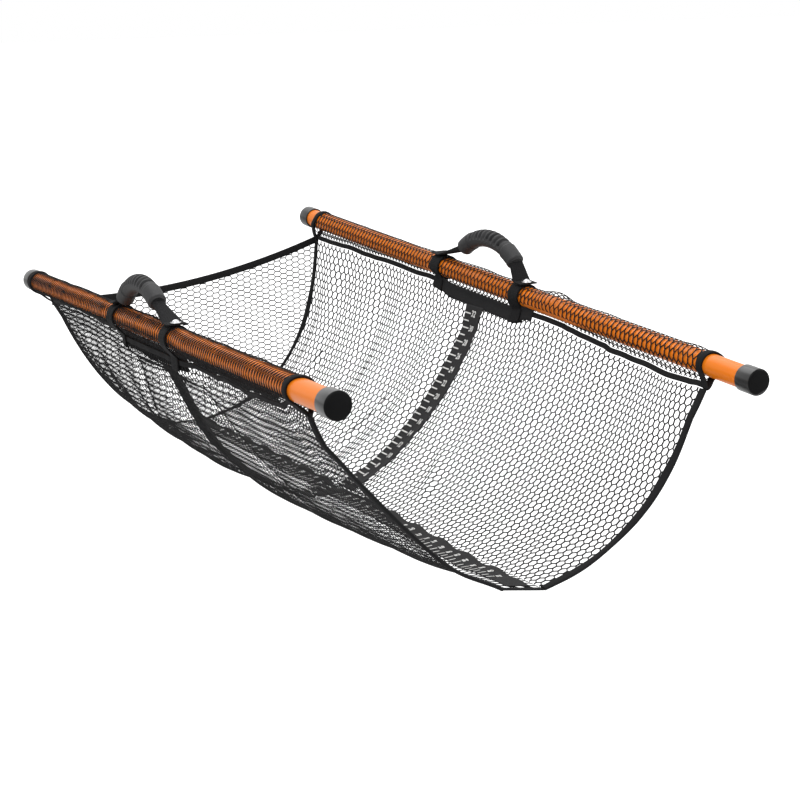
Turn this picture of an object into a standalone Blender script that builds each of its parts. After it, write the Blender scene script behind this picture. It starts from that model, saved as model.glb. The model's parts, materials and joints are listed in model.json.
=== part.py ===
"""A floating carp cradle: two capped poles, a netting trough between them and a carrying handle on each pole.

The trough hangs in a U from the poles, open at the front (-Y) and closed by a net wall at the rear (+Y).
The origin lies under the middle of the trough, +X points to the right pole and +Z up. Sizes are in metres.
"""
import math
from dataclasses import dataclass

import bmesh
import bpy
from mathutils import Matrix, Vector

# Poles: place of each axis at its two ends, and section
POLE_LENGTH = 1.086
FRONT_SPREAD = 0.4935
REAR_SPREAD = 0.437
LEFT_FRONT_HEIGHT = 0.251
LEFT_REAR_HEIGHT = 0.230
RIGHT_FRONT_HEIGHT = 0.217
RIGHT_REAR_HEIGHT = 0.290
TUBE_DIAMETER = 0.026
TUBE_WALL = 0.0015
CAP_DIAMETER = 0.030
CAP_LENGTH = 0.024
CAP_END = 0.003
CAP_ROUND = 0.003
CORE_CLEARANCE = 0.0005
CORE_SHORTENING = 0.020

# Sleeves of netting round the poles, and the seam under each
FRONT_BARE = 0.0515
REAR_BARE = 0.007
SLEEVE_CLEARANCE = 0.0005
SLEEVE_THICKNESS = 0.0012
MOUTH_BAND_WIDTH = 0.008
MOUTH_BAND_THICKNESS = 0.002
SEAM_START = 0.0235
SEAM_WIDTH = 0.008
SEAM_THICKNESS = 0.0016
SEAM_REAR_SHORT = 0.004
LEFT_FRONT_LEAN = math.radians(20)
LEFT_MIDDLE_LEAN = math.radians(20)
LEFT_REAR_LEAN = math.radians(31)
RIGHT_FRONT_LEAN = math.radians(29)
RIGHT_MIDDLE_LEAN = math.radians(14)
RIGHT_REAR_LEAN = math.radians(6)

# Netting of the trough
NET_THICKNESS = 0.0015
NET_STRAND = 0.006
NET_HEM = 0.004
SIDE_CELLS_LONG = 15
SIDE_CELLS_UP = 5
FLOOR_CELLS_LONG = 12
FLOOR_WIDTH = 0.050
HINGE_GAP = 0.0005
LEFT_FRONT_BELLY_OUT = 0.112
LEFT_FRONT_BELLY_UP = 0.050
LEFT_MIDDLE_BELLY_OUT = 0.151
LEFT_MIDDLE_BELLY_UP = 0.014
LEFT_REAR_BELLY_OUT = 0.130
LEFT_REAR_BELLY_UP = 0.038
RIGHT_FRONT_BELLY_OUT = 0.166
RIGHT_FRONT_BELLY_UP = 0.041
RIGHT_MIDDLE_BELLY_OUT = 0.1315
RIGHT_MIDDLE_BELLY_UP = 0.0395
RIGHT_REAR_BELLY_OUT = 0.190
RIGHT_REAR_BELLY_UP = 0.030
NET_STRAIGHT = 0.030

# Bindings, end wall and measuring tapes
BINDING_WIDTH = 0.007
BINDING_THICKNESS = 0.0024
END_WALL_CELL = 0.052
END_WALL_FIRST = 0.0312
END_WALL_MARGIN = 0.004
END_BAND_WIDTH = 0.008
END_BAND_SAG = 0.021
CROSS_RULER_WIDTH = 0.040
LENGTH_RULER_WIDTH = 0.030
LENGTH_RULER_SHIFT = 0.004
RULER_THICKNESS = 0.001
RULER_STEP_BACK = 0.0028
RULER_CLEARANCE = 0.0012

# Handles
LEFT_HANDLE_Y = 0.026
RIGHT_HANDLE_Y = 0.026
LOOP_SPACING = 0.200
LOOP_WIDTH = 0.025
WEBBING_THICKNESS = 0.0014
LOOP_CLEARANCE = 0.0004
PATCH_OVERHANG = 0.015
PATCH_SHIFT = -0.012
PATCH_WIDTH = 0.0125
PATCH_THICKNESS = 0.0012
TAIL_OVERHANG = 0.002
STRAP_THICKNESS = 0.0018
STRAP_PAD_WIDTH = 0.026
STRAP_CORE_WIDTH = 0.014
STRAP_PAD_FRONT = 0.014
STRAP_PAD_BACK = 0.004
GRIP_CHORD = 0.128
GRIP_RISE = 0.0215
GRIP_MIDDLE_DIAMETER = 0.0230
GRIP_END_DIAMETER = 0.0206
LEFT_GRIP_SHIFT = 0.018
LEFT_GRIP_FRONT_HEIGHT = 0.034
LEFT_GRIP_REAR_HEIGHT = 0.024
RIGHT_GRIP_SHIFT = -0.018
RIGHT_GRIP_FRONT_HEIGHT = 0.038
RIGHT_GRIP_REAR_HEIGHT = 0.035
SLOT_CLEARANCE = 0.0003
RIVET_HEAD_DIAMETER = 0.009
RIVET_HEAD_HEIGHT = 0.003
RIVET_SHANK_DIAMETER = 0.004
WASHER_DIAMETER = 0.013
WASHER_THICKNESS = 0.0008

# Gaps between touching pieces, and how finely round shapes are divided
GAP = 0.0003
ROUND_STEPS = 24
SMALL_STEPS = 16
ARC_STEPS = 12
PROFILE_STEPS = 12
STRIP_STEPS = 8
EDGE_STEPS = 3
DOME_STEPS = 4

PARTS = "carp_cradle"
CUTTERS = "carp_cradle_cutters"


def lerp(a, b, t):
    """The value at share t of the way from a to b."""
    return a + (b - a) * t


def fresh_collection(name):
    """An empty collection of the given name, linked to the scene."""
    collection = bpy.data.collections.get(name) or bpy.data.collections.new(name)
    if collection.name not in bpy.context.scene.collection.children:
        bpy.context.scene.collection.children.link(collection)
    return collection


def material(name, colour, roughness, metallic=0.0):
    """A plain material with the given colour, roughness and metallic value."""
    made = bpy.data.materials.new(name)
    made.use_nodes = True
    shader = made.node_tree.nodes["Principled BSDF"]
    shader.inputs["Base Color"].default_value = (*colour, 1.0)
    shader.inputs["Roughness"].default_value = roughness
    shader.inputs["Metallic"].default_value = metallic
    return made


def empty(name, parent, matrix):
    """An empty that pieces hang on, at a matrix given in its parent's frame."""
    made = bpy.data.objects.new(name, None)
    made.empty_display_size = 0.02
    bpy.data.collections[PARTS].objects.link(made)
    made.parent = parent
    made.matrix_local = matrix
    return made


def add_piece(name, data, surface, parent=None, matrix=None, smooth=False):
    """Adds a piece with its material under its parent and returns the object."""
    piece = bpy.data.objects.new(name, data)
    bpy.data.collections[PARTS].objects.link(piece)
    data.materials.append(surface)
    piece.parent = parent
    if matrix is not None:
        piece.matrix_local = matrix
    if smooth:
        data.shade_smooth()
        data.set_sharp_from_angle(angle=math.radians(40))
    return piece


def add_cutter(name, data, parent=None, matrix=None):
    """Adds a hidden object that other pieces are cut by."""
    cutter = bpy.data.objects.new(name, data)
    bpy.data.collections[CUTTERS].objects.link(cutter)
    cutter.parent = parent
    if matrix is not None:
        cutter.matrix_local = matrix
    cutter.hide_render = True
    cutter.display_type = "WIRE"
    return cutter


def cut(piece, cutter):
    """Takes the cutter's shape out of the piece."""
    boolean = piece.modifiers.new("cut", "BOOLEAN")
    boolean.operation = "DIFFERENCE"
    boolean.solver = "EXACT"
    boolean.object = cutter


def thicken(piece, thickness):
    """Gives an open surface its thickness, half on each side."""
    solid = piece.modifiers.new("thickness", "SOLIDIFY")
    solid.thickness = thickness
    solid.offset = 0.0
    solid.use_even_offset = True


def grid_mesh(name, rows, closed=False):
    """A mesh over rows of points, with the ends of each row joined if closed."""
    bm = bmesh.new()
    verts = [[bm.verts.new(point) for point in row] for row in rows]
    count = len(rows[0])
    for near, far in zip(verts, verts[1:]):
        for i in range(count if closed else count - 1):
            j = (i + 1) % count
            bm.faces.new((near[i], near[j], far[j], far[i]))
    bmesh.ops.recalc_face_normals(bm, faces=bm.faces)
    mesh = bpy.data.meshes.new(name)
    bm.to_mesh(mesh)
    bm.free()
    return mesh


def cylinder_mesh(name, radius, length, steps, capped=True):
    """A cylinder along Y about the origin, open at both ends unless capped."""
    bm = bmesh.new()
    bmesh.ops.create_cone(
        bm, cap_ends=capped, segments=steps, radius1=radius, radius2=radius, depth=length,
        matrix=Matrix.Rotation(math.radians(90), 4, "X"),
    )
    mesh = bpy.data.meshes.new(name)
    bm.to_mesh(mesh)
    bm.free()
    return mesh


def turned_piece(name, profile, surface, parent, matrix, steps):
    """A piece turned about its Z axis from (radius, height) points, listed from the top down."""
    mesh = bpy.data.meshes.new(name)
    mesh.from_pydata([(r, 0.0, z) for r, z in profile], [(i, i + 1) for i in range(len(profile) - 1)], [])
    piece = add_piece(name, mesh, surface, parent, matrix)
    screw = piece.modifiers.new("turn", "SCREW")
    screw.axis = "Z"
    screw.steps = steps
    screw.render_steps = steps
    screw.use_merge_vertices = True
    screw.merge_threshold = 0.00005
    screw.use_smooth_shade = False
    return piece


def flat_piece(name, outlines, thickness, surface, parent, matrix):
    """A plate cut to the first outline, with the other outlines as holes in it."""
    curve = bpy.data.curves.new(name, "CURVE")
    curve.dimensions = "2D"
    curve.fill_mode = "BOTH"
    curve.extrude = thickness / 2
    for outline in outlines:
        spline = curve.splines.new("POLY")
        spline.points.add(len(outline) - 1)
        for point, (x, y) in zip(spline.points, outline):
            point.co = (x, y, 0.0, 1.0)
        spline.use_cyclic_u = True
    return add_piece(name, curve, surface, parent, matrix)


@dataclass(frozen=True)
class Side:
    """One pole's side of the cradle: -1 is left, +1 is right."""

    name: str
    sign: float
    front_height: float
    rear_height: float
    leans: tuple
    bellies: tuple
    handle_y: float
    grip_shift: float
    grip_heights: tuple

    def pole_matrix(self):
        """The pole's own frame: origin at its middle, +Y along its axis to the rear, +Z up."""
        front = Vector((self.sign * FRONT_SPREAD / 2, 0.0, self.front_height))
        rear = Vector((self.sign * REAR_SPREAD / 2, 0.0, self.rear_height))
        reach = rear - front
        reach.y = math.sqrt(POLE_LENGTH ** 2 - reach.length_squared)
        along = reach.normalized()
        across = along.cross(Vector((0.0, 0.0, 1.0))).normalized()
        up = across.cross(along)
        frame = Matrix((across, along, up)).transposed().to_4x4()
        frame.translation = (front + rear) / 2
        frame.translation.y = 0.0
        return frame

    def lean(self, y):
        """How far the seam leans inwards at y: it changes evenly from the handle's middle to each end."""
        front, middle, rear = self.leans
        if y < self.handle_y:
            return lerp(middle, front, (y - self.handle_y) / (NET_FRONT - self.handle_y))
        return lerp(middle, rear, (y - self.handle_y) / (NET_REAR - self.handle_y))

    def hang(self, y, out, down):
        """A point in the pole's frame: down the seam's direction at y, and square to it to the outside."""
        lean = self.lean(y)
        x = self.sign * (out * math.cos(lean) - down * math.sin(lean))
        z = -out * math.sin(lean) - down * math.cos(lean)
        return Vector((x, y, z))

    def seam_point(self, y, down):
        """The point under the pole at a distance down the seam's direction, where it crosses the plane of y."""
        frame = self.pole_matrix()
        start = frame @ self.hang(y, 0.0, down)
        along = frame.col[1].to_3d()
        return start + along * ((y - start.y) / along.y)

    def belly(self, share):
        """How far out and up the section is drawn: a smooth run through its front, middle and rear values."""
        bow = 4 * share * (1 - share)
        return (lerp(front, rear, share) + bow * (middle - (front + rear) / 2)
                for front, middle, rear in zip(*self.bellies))

    def net_profile(self, y):
        """The trough's section at y: points from the floor's edge up to the seam, with their distance along it."""
        share = (y - NET_FRONT) / (NET_REAR - NET_FRONT)
        low = Vector((self.sign * (FLOOR_WIDTH / 2 + 2 * HINGE_GAP), y, BINDING_THICKNESS / 2))
        bend = self.seam_point(y, NET_TOP + NET_STRAIGHT)
        out, up = self.belly(share)
        belly = Vector((self.sign * out, y, up))
        points = []
        for step in range(PROFILE_STEPS + 1):
            t = step / PROFILE_STEPS
            points.append(low * (1 - t) ** 2 + belly * 2 * t * (1 - t) + bend * t ** 2)
        points.append(self.seam_point(y, NET_TOP))
        reach = [0.0]
        for a, b in zip(points, points[1:]):
            reach.append(reach[-1] + (b - a).length)
        return points, reach

    def stations(self, start, end):
        """Places along the pole from start to end, evenly spaced on each side of the handle's middle."""
        if not start < self.handle_y < end:
            return [start, end]
        found = [lerp(start, self.handle_y, step / STRIP_STEPS) for step in range(STRIP_STEPS)]
        return found + [lerp(self.handle_y, end, step / STRIP_STEPS) for step in range(STRIP_STEPS + 1)]

    def net_height(self, y):
        """The length of net from the floor's edge to the seam at y."""
        return self.net_profile(y)[1][-1]

    def net_point(self, y, up, lift=0.0):
        """A point of the net at y, a length up from the floor's edge, lifted towards the inside of the trough."""
        points, reach = self.net_profile(y)
        up = min(max(up, 0.0), reach[-1])
        index = next(i for i in range(1, len(reach)) if up <= reach[i] + 1e-9)
        span = points[index] - points[index - 1]
        place = points[index - 1] + span * ((up - reach[index - 1]) / span.length)
        inward = Vector((-self.sign * span.z, 0.0, self.sign * span.x)).normalized()
        return place + inward * lift


NET_TOP = SEAM_START + SEAM_WIDTH + GAP
SLEEVE_FRONT = -POLE_LENGTH / 2 + CAP_LENGTH + FRONT_BARE + MOUTH_BAND_WIDTH
SLEEVE_REAR = POLE_LENGTH / 2 - CAP_LENGTH - REAR_BARE - MOUTH_BAND_WIDTH
NET_FRONT = SLEEVE_FRONT
NET_REAR = SLEEVE_REAR
SLEEVE_RADIUS = TUBE_DIAMETER / 2 + SLEEVE_CLEARANCE + SLEEVE_THICKNESS / 2
SLEEVE_OUTER = SLEEVE_RADIUS + SLEEVE_THICKNESS / 2
SLEEVE_TIP = SEAM_START - GAP
LOOP_RADIUS = SLEEVE_OUTER + LOOP_CLEARANCE + WEBBING_THICKNESS / 2
LOOP_OUTER = LOOP_RADIUS + WEBBING_THICKNESS / 2
PATCH_OUT = SEAM_THICKNESS / 2 + LOOP_CLEARANCE + PATCH_THICKNESS / 2
INNER_TAIL_OUT = PATCH_OUT + PATCH_THICKNESS / 2 + LOOP_CLEARANCE + WEBBING_THICKNESS / 2
OUTER_TAIL_OUT = SEAM_THICKNESS / 2 + LOOP_CLEARANCE + WEBBING_THICKNESS / 2
PATCH_LOW = SEAM_START + PATCH_WIDTH
PAD_HEIGHT = LOOP_OUTER + GAP + STRAP_THICKNESS / 2
HINGE_X = FLOOR_WIDTH / 2 + HINGE_GAP
HINGE_Z = NET_THICKNESS / 2

LEFT = Side(
    "left", -1.0, LEFT_FRONT_HEIGHT, LEFT_REAR_HEIGHT,
    (LEFT_FRONT_LEAN, LEFT_MIDDLE_LEAN, LEFT_REAR_LEAN),
    ((LEFT_FRONT_BELLY_OUT, LEFT_FRONT_BELLY_UP), (LEFT_MIDDLE_BELLY_OUT, LEFT_MIDDLE_BELLY_UP),
     (LEFT_REAR_BELLY_OUT, LEFT_REAR_BELLY_UP)),
    LEFT_HANDLE_Y, LEFT_GRIP_SHIFT, (LEFT_GRIP_FRONT_HEIGHT, LEFT_GRIP_REAR_HEIGHT),
)
RIGHT = Side(
    "right", 1.0, RIGHT_FRONT_HEIGHT, RIGHT_REAR_HEIGHT,
    (RIGHT_FRONT_LEAN, RIGHT_MIDDLE_LEAN, RIGHT_REAR_LEAN),
    ((RIGHT_FRONT_BELLY_OUT, RIGHT_FRONT_BELLY_UP), (RIGHT_MIDDLE_BELLY_OUT, RIGHT_MIDDLE_BELLY_UP),
     (RIGHT_REAR_BELLY_OUT, RIGHT_REAR_BELLY_UP)),
    RIGHT_HANDLE_Y, RIGHT_GRIP_SHIFT, (RIGHT_GRIP_FRONT_HEIGHT, RIGHT_GRIP_REAR_HEIGHT),
)


def net_sheet(name, length, height, cells_long, cells_up, place):
    """A netting sheet of crossing strands inside a hem, laid where place(s, t) says, as an open surface."""
    a = (length - 2 * NET_HEM) / (2 * cells_long)
    b = (height - 2 * NET_HEM) / (2 * cells_up)
    half_s = NET_STRAND / 2 * math.hypot(a, b) / b
    half_t = NET_STRAND / 2 * math.hypot(a, b) / a
    step = {"E": (half_s, 0.0), "N": (0.0, half_t), "W": (-half_s, 0.0), "S": (0.0, -half_t), "C": (0.0, 0.0)}
    last_i = 2 * cells_long
    last_j = 2 * cells_up
    bm = bmesh.new()
    points = {}

    def vert(s, t):
        key = (round(s, 6), round(t, 6))
        if key not in points:
            points[key] = bm.verts.new(place(s, t))
        return points[key]

    def corner(i, j, side):
        return vert(NET_HEM + i * a + step[side][0], NET_HEM + j * b + step[side][1])

    def knot_sides(i, j):
        sides = [side for side, there in (("E", i < last_i), ("N", j < last_j), ("W", i > 0), ("S", j > 0)) if there]
        if len(sides) == 2:
            sides.append("C")
        return sides

    knots = [(i, j) for i in range(last_i + 1) for j in range(last_j + 1) if (i + j) % 2 == 0]
    for i, j in knots:
        bm.faces.new([corner(i, j, side) for side in knot_sides(i, j)])
        if i < last_i and j < last_j:
            bm.faces.new((corner(i, j, "E"), corner(i + 1, j + 1, "S"), corner(i + 1, j + 1, "W"), corner(i, j, "N")))
        if i < last_i and j > 0:
            bm.faces.new((corner(i, j, "S"), corner(i + 1, j - 1, "W"), corner(i + 1, j - 1, "N"), corner(i, j, "E")))
    edge_s = (NET_HEM, length - NET_HEM)
    edge_t = (NET_HEM, height - NET_HEM)
    inner = list(points)
    for inside, outside in zip(edge_t, (0.0, height)):
        line = sorted(s for s, t in inner if abs(t - inside) < 1e-5)
        for near, far in zip(line, line[1:]):
            bm.faces.new((vert(near, inside), vert(far, inside), vert(far, outside), vert(near, outside)))
    for inside, outside in zip(edge_s, (0.0, length)):
        line = sorted(t for s, t in inner if abs(s - inside) < 1e-5)
        for near, far in zip(line, line[1:]):
            bm.faces.new((vert(inside, near), vert(inside, far), vert(outside, far), vert(outside, near)))
        for turn, rim in zip(edge_t, (0.0, height)):
            bm.faces.new((vert(inside, turn), vert(inside, rim), vert(outside, rim), vert(outside, turn)))
    bmesh.ops.recalc_face_normals(bm, faces=bm.faces)
    mesh = bpy.data.meshes.new(name)
    bm.to_mesh(mesh)
    bm.free()
    return mesh


def arc_points(radius, start, end, steps):
    """Points (out, down) on a circle about the pole, by angles from straight out, turning upwards."""
    found = []
    for step in range(steps + 1):
        angle = lerp(start, end, step / steps)
        found.append((radius * math.cos(angle), -radius * math.sin(angle)))
    return found


def teardrop(radius, thickness):
    """The middle line of a sleeve section: round the pole and to a tip at the seam, as (out, down) points."""
    half_angle = math.asin((radius + thickness / 2) / SLEEVE_TIP)
    tip = radius * SLEEVE_TIP / (radius + thickness / 2)
    arc = arc_points(radius, -half_angle, math.pi + half_angle, ARC_STEPS)
    return [(0.0, tip)] + arc


def ribbon(name, side, section, stations, thickness, surface, parent, closed=False):
    """A band that follows a section of (out, down) points through stations along the pole."""
    origin = Vector((0.0, side.handle_y if parent.name.endswith("handle_axis") else 0.0, 0.0))
    rows = [[side.hang(y, out, down) - origin for out, down in section] for y in stations]
    piece = add_piece(name, grid_mesh(name, rows, closed), surface, parent)
    thicken(piece, thickness)
    return piece


def make_pole(side, surfaces, pole_axis):
    """The tube, the float core inside it and the two push-on caps."""
    tube_length = POLE_LENGTH - 2 * (CAP_END + GAP)
    radius = TUBE_DIAMETER / 2 - TUBE_WALL / 2
    name = f"pole_tube_{side.name}"
    tube = add_piece(name, cylinder_mesh(name, radius, tube_length, ROUND_STEPS, False), surfaces["tube"], pole_axis)
    thicken(tube, TUBE_WALL)
    name = f"float_core_{side.name}"
    radius = TUBE_DIAMETER / 2 - TUBE_WALL - CORE_CLEARANCE
    core_length = tube_length - 2 * CORE_SHORTENING
    add_piece(name, cylinder_mesh(name, radius, core_length, SMALL_STEPS), surfaces["foam"], pole_axis)
    bore = TUBE_DIAMETER / 2 + GAP
    outer = CAP_DIAMETER / 2
    profile = [(0.0, 0.0)]
    for step in range(EDGE_STEPS + 1):
        angle = math.radians(90) * (1 - step / EDGE_STEPS)
        profile.append((outer - CAP_ROUND + CAP_ROUND * math.cos(angle), CAP_ROUND * (math.sin(angle) - 1)))
    profile += [(outer, -CAP_LENGTH), (bore, -CAP_LENGTH), (bore, -CAP_END), (0.0, -CAP_END)]
    for end, turn in (("front", 90), ("rear", -90)):
        y = -POLE_LENGTH / 2 if end == "front" else POLE_LENGTH / 2
        place = Matrix.Translation((0.0, y, 0.0)) @ Matrix.Rotation(math.radians(turn), 4, "X")
        turned_piece(f"pole_cap_{side.name}_{end}", profile, surfaces["rubber"], pole_axis, place, ROUND_STEPS)


def make_sleeve(side, surfaces, pole_axis):
    """The net sleeve round the pole, its two bound mouths and the tape that closes it below."""
    section = teardrop(SLEEVE_RADIUS, SLEEVE_THICKNESS)
    ribbon(f"sleeve_{side.name}", side, section, side.stations(SLEEVE_FRONT + GAP, SLEEVE_REAR - GAP),
           SLEEVE_THICKNESS, surfaces["net"], pole_axis, True)
    radius = TUBE_DIAMETER / 2 + SLEEVE_CLEARANCE + MOUTH_BAND_THICKNESS / 2
    section = teardrop(radius, MOUTH_BAND_THICKNESS)
    for end, start in (("front", SLEEVE_FRONT - MOUTH_BAND_WIDTH), ("rear", SLEEVE_REAR)):
        ribbon(f"sleeve_band_{side.name}_{end}", side, section, (start, start + MOUTH_BAND_WIDTH),
               MOUTH_BAND_THICKNESS, surfaces["binding"], pole_axis, True)
    section = [(0.0, SEAM_START), (0.0, SEAM_START + SEAM_WIDTH)]
    end = SLEEVE_REAR + MOUTH_BAND_WIDTH - SEAM_REAR_SHORT
    ribbon(f"seam_tape_{side.name}", side, section, side.stations(SLEEVE_FRONT - MOUTH_BAND_WIDTH, end),
           SEAM_THICKNESS, surfaces["binding"], pole_axis)


def make_patch_and_loops(side, surfaces, handle_axis):
    """The reinforcing patch on the seam's inner face and the two webbing loops sewn over it."""
    middle = side.handle_y + PATCH_SHIFT
    reach = LOOP_SPACING / 2 + PATCH_OVERHANG
    ribbon(f"patch_{side.name}", side, [(-PATCH_OUT, SEAM_START), (-PATCH_OUT, PATCH_LOW)],
           side.stations(middle - reach, middle + reach), PATCH_THICKNESS, surfaces["patch"], handle_axis)
    half_angle = math.asin(SLEEVE_OUTER / SLEEVE_TIP)
    inner_neck, outer_neck = (LOOP_RADIUS / math.sin(half_angle) - out / math.tan(half_angle)
                              for out in (INNER_TAIL_OUT, OUTER_TAIL_OUT))
    low = PATCH_LOW + TAIL_OVERHANG
    arc = arc_points(LOOP_RADIUS, -half_angle, math.pi + half_angle, ARC_STEPS)
    outer_tail = [(OUTER_TAIL_OUT, low), (OUTER_TAIL_OUT, outer_neck)]
    inner_tail = [(-INNER_TAIL_OUT, inner_neck), (-INNER_TAIL_OUT, low)]
    section = outer_tail + arc + inner_tail
    for end, sign in (("front", -1), ("rear", 1)):
        middle = side.handle_y + sign * LOOP_SPACING / 2
        ribbon(f"strap_loop_{side.name}_{end}", side, section, (middle - LOOP_WIDTH / 2, middle + LOOP_WIDTH / 2),
               WEBBING_THICKNESS, surfaces["webbing"], handle_axis)


def grip_arc(side, steps):
    """Points (y, z) along the middle of the grip, from its front end to its rear end."""
    radius = ((GRIP_CHORD / 2) ** 2 + GRIP_RISE ** 2) / (2 * GRIP_RISE)
    half_angle = math.asin(GRIP_CHORD / 2 / radius)
    front, rear = side.grip_heights
    tilt = math.asin((rear - front) / GRIP_CHORD)
    found = []
    for step in range(steps + 1):
        angle = lerp(-half_angle, half_angle, step / steps)
        along = radius * math.sin(angle)
        rise = GRIP_RISE - radius * (1 - math.cos(angle))
        y = side.grip_shift + along * math.cos(tilt) - rise * math.sin(tilt)
        found.append((y, (front + rear) / 2 + along * math.sin(tilt) + rise * math.cos(tilt)))
    return found


def strap_rows(side, extra):
    """The handle strap as rows of points across it, each wider than the strap by extra on each side."""
    half = LOOP_SPACING / 2
    ends = STRAP_PAD_FRONT
    path = [(-half - ends, PAD_HEIGHT, STRAP_PAD_WIDTH), (-half + STRAP_PAD_BACK, PAD_HEIGHT, STRAP_PAD_WIDTH)]
    path += [(y, z, STRAP_CORE_WIDTH) for y, z in grip_arc(side, ARC_STEPS)]
    path += [(half - STRAP_PAD_BACK, PAD_HEIGHT, STRAP_PAD_WIDTH), (half + ends, PAD_HEIGHT, STRAP_PAD_WIDTH)]
    return [[(-width / 2 - extra, y, z), (width / 2 + extra, y, z)] for y, z, width in path]


def make_handle(side, surfaces, handle_axis):
    """The webbing strap, the moulded grip it runs through, and the rivet and washer at its front end."""
    name = f"handle_strap_{side.name}"
    strap = add_piece(name, grid_mesh(name, strap_rows(side, 0.0)), surfaces["webbing"], handle_axis)
    thicken(strap, STRAP_THICKNESS)
    name = f"slot_cutter_{side.name}"
    slot = add_cutter(name, grid_mesh(name, strap_rows(side, SLOT_CLEARANCE)), handle_axis)
    thicken(slot, STRAP_THICKNESS + 2 * SLOT_CLEARANCE)

    name = f"handle_grip_{side.name}"
    curve = bpy.data.curves.new(name, "CURVE")
    curve.dimensions = "3D"
    curve.bevel_depth = GRIP_MIDDLE_DIAMETER / 2
    curve.bevel_resolution = 2
    curve.use_fill_caps = True
    spline = curve.splines.new("POLY")
    arc = grip_arc(side, ARC_STEPS)
    spline.points.add(len(arc) - 1)
    for index, (point, (y, z)) in enumerate(zip(spline.points, arc)):
        point.co = (0.0, y, z, 1.0)
        middle = math.sin(math.pi * index / ARC_STEPS)
        point.radius = lerp(GRIP_END_DIAMETER / GRIP_MIDDLE_DIAMETER, 1.0, middle ** 2)
    guide = bpy.data.objects.new(f"{name}_curve", curve)
    bpy.data.collections[PARTS].objects.link(guide)
    bpy.context.view_layer.update()
    depsgraph = bpy.context.evaluated_depsgraph_get()
    mesh = bpy.data.meshes.new_from_object(guide.evaluated_get(depsgraph))
    mesh.name = name
    bpy.data.objects.remove(guide)
    bm = bmesh.new()
    bm.from_mesh(mesh)
    bmesh.ops.remove_doubles(bm, verts=bm.verts, dist=1e-6)
    bm.to_mesh(mesh)
    bm.free()
    grip = add_piece(name, mesh, surfaces["grip"], handle_axis, smooth=True)
    cut(grip, slot)

    y = -LOOP_SPACING / 2 - STRAP_PAD_FRONT + WASHER_DIAMETER / 2 + GAP
    top = PAD_HEIGHT + STRAP_THICKNESS / 2 + GAP
    hole = RIVET_SHANK_DIAMETER / 2 + GAP
    name = f"rivet_hole_{side.name}"
    place = Matrix.Translation((0.0, y, PAD_HEIGHT)) @ Matrix.Rotation(math.radians(90), 4, "X")
    drill = add_cutter(name, cylinder_mesh(name, hole, 4 * STRAP_THICKNESS, SMALL_STEPS), handle_axis, place)
    cut(strap, drill)

    washer = [(WASHER_DIAMETER / 2, WASHER_THICKNESS), (WASHER_DIAMETER / 2, 0.0), (hole, 0.0),
              (hole, WASHER_THICKNESS), (WASHER_DIAMETER / 2, WASHER_THICKNESS)]
    turned_piece(f"rivet_washer_{side.name}", washer, surfaces["steel"], handle_axis,
                 Matrix.Translation((0.0, y, top)), SMALL_STEPS)
    seat = top + WASHER_THICKNESS + GAP
    profile = [(0.0, RIVET_HEAD_HEIGHT)]
    for step in range(1, DOME_STEPS + 1):
        angle = math.radians(90) * (1 - step / DOME_STEPS)
        profile.append((RIVET_HEAD_DIAMETER / 2 * math.cos(angle), RIVET_HEAD_HEIGHT * math.sin(angle)))
    foot = LOOP_OUTER + GAP - seat
    profile += [(RIVET_SHANK_DIAMETER / 2, 0.0), (RIVET_SHANK_DIAMETER / 2, foot), (0.0, foot)]
    turned_piece(f"rivet_{side.name}", profile, surfaces["steel"], handle_axis,
                 Matrix.Translation((0.0, y, seat)), SMALL_STEPS)


def surface_strip(name, side, stations, levels, lift, thickness, surface, parent):
    """A strip laid on the trough's side: stations along Y, levels up it, lifted off the net."""
    origin = parent.matrix_world.translation
    rows = [[side.net_point(y, up, lift) - origin for up in levels(y)] for y in stations]
    piece = add_piece(name, grid_mesh(name, rows), surface, parent)
    thicken(piece, thickness)
    return piece


def make_side_net(side, surfaces, fold_axis):
    """The side's netting, its front and rear bindings and its half of the crosswise measuring tape."""
    name = f"net_side_{side.name}"
    length = NET_REAR - NET_FRONT - 2 * GAP
    origin = fold_axis.matrix_world.translation
    nominal = side.net_height(0.0)

    def place(s, t):
        y = NET_FRONT + GAP + s
        return side.net_point(y, t / nominal * side.net_height(y)) - origin

    net = add_piece(name, net_sheet(name, length, nominal, SIDE_CELLS_LONG, SIDE_CELLS_UP, place),
                    surfaces["net"], fold_axis)
    thicken(net, NET_THICKNESS)

    def full(y):
        return [side.net_height(y) * step / PROFILE_STEPS for step in range(PROFILE_STEPS + 1)]

    for end, start in (("front", NET_FRONT - BINDING_WIDTH), ("rear", NET_REAR)):
        surface_strip(f"binding_{end}_{side.name}", side, (start, start + BINDING_WIDTH), full, 0.0,
                      BINDING_THICKNESS, surfaces["binding"], fold_axis)

    def between(y):
        top = side.net_height(y) - (PATCH_LOW + GAP - NET_TOP) - GAP
        return [lerp(0.0, top, step / PROFILE_STEPS) for step in range(PROFILE_STEPS + 1)]

    lift = NET_THICKNESS / 2 + RULER_CLEARANCE + RULER_THICKNESS / 2
    half = CROSS_RULER_WIDTH / 2
    stations = (side.handle_y - half, side.handle_y, side.handle_y + half)
    surface_strip(f"ruler_cross_{side.name}", side, stations, between, lift, RULER_THICKNESS,
                  surfaces["tape"], fold_axis)


def box_piece(name, size, centre, surface):
    """A rectangular strip of the given size about its centre."""
    bm = bmesh.new()
    bmesh.ops.create_cube(bm, size=1.0, matrix=Matrix.Diagonal((*size, 1.0)))
    mesh = bpy.data.meshes.new(name)
    bm.to_mesh(mesh)
    bm.free()
    return add_piece(name, mesh, surface, None, Matrix.Translation(centre))


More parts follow.
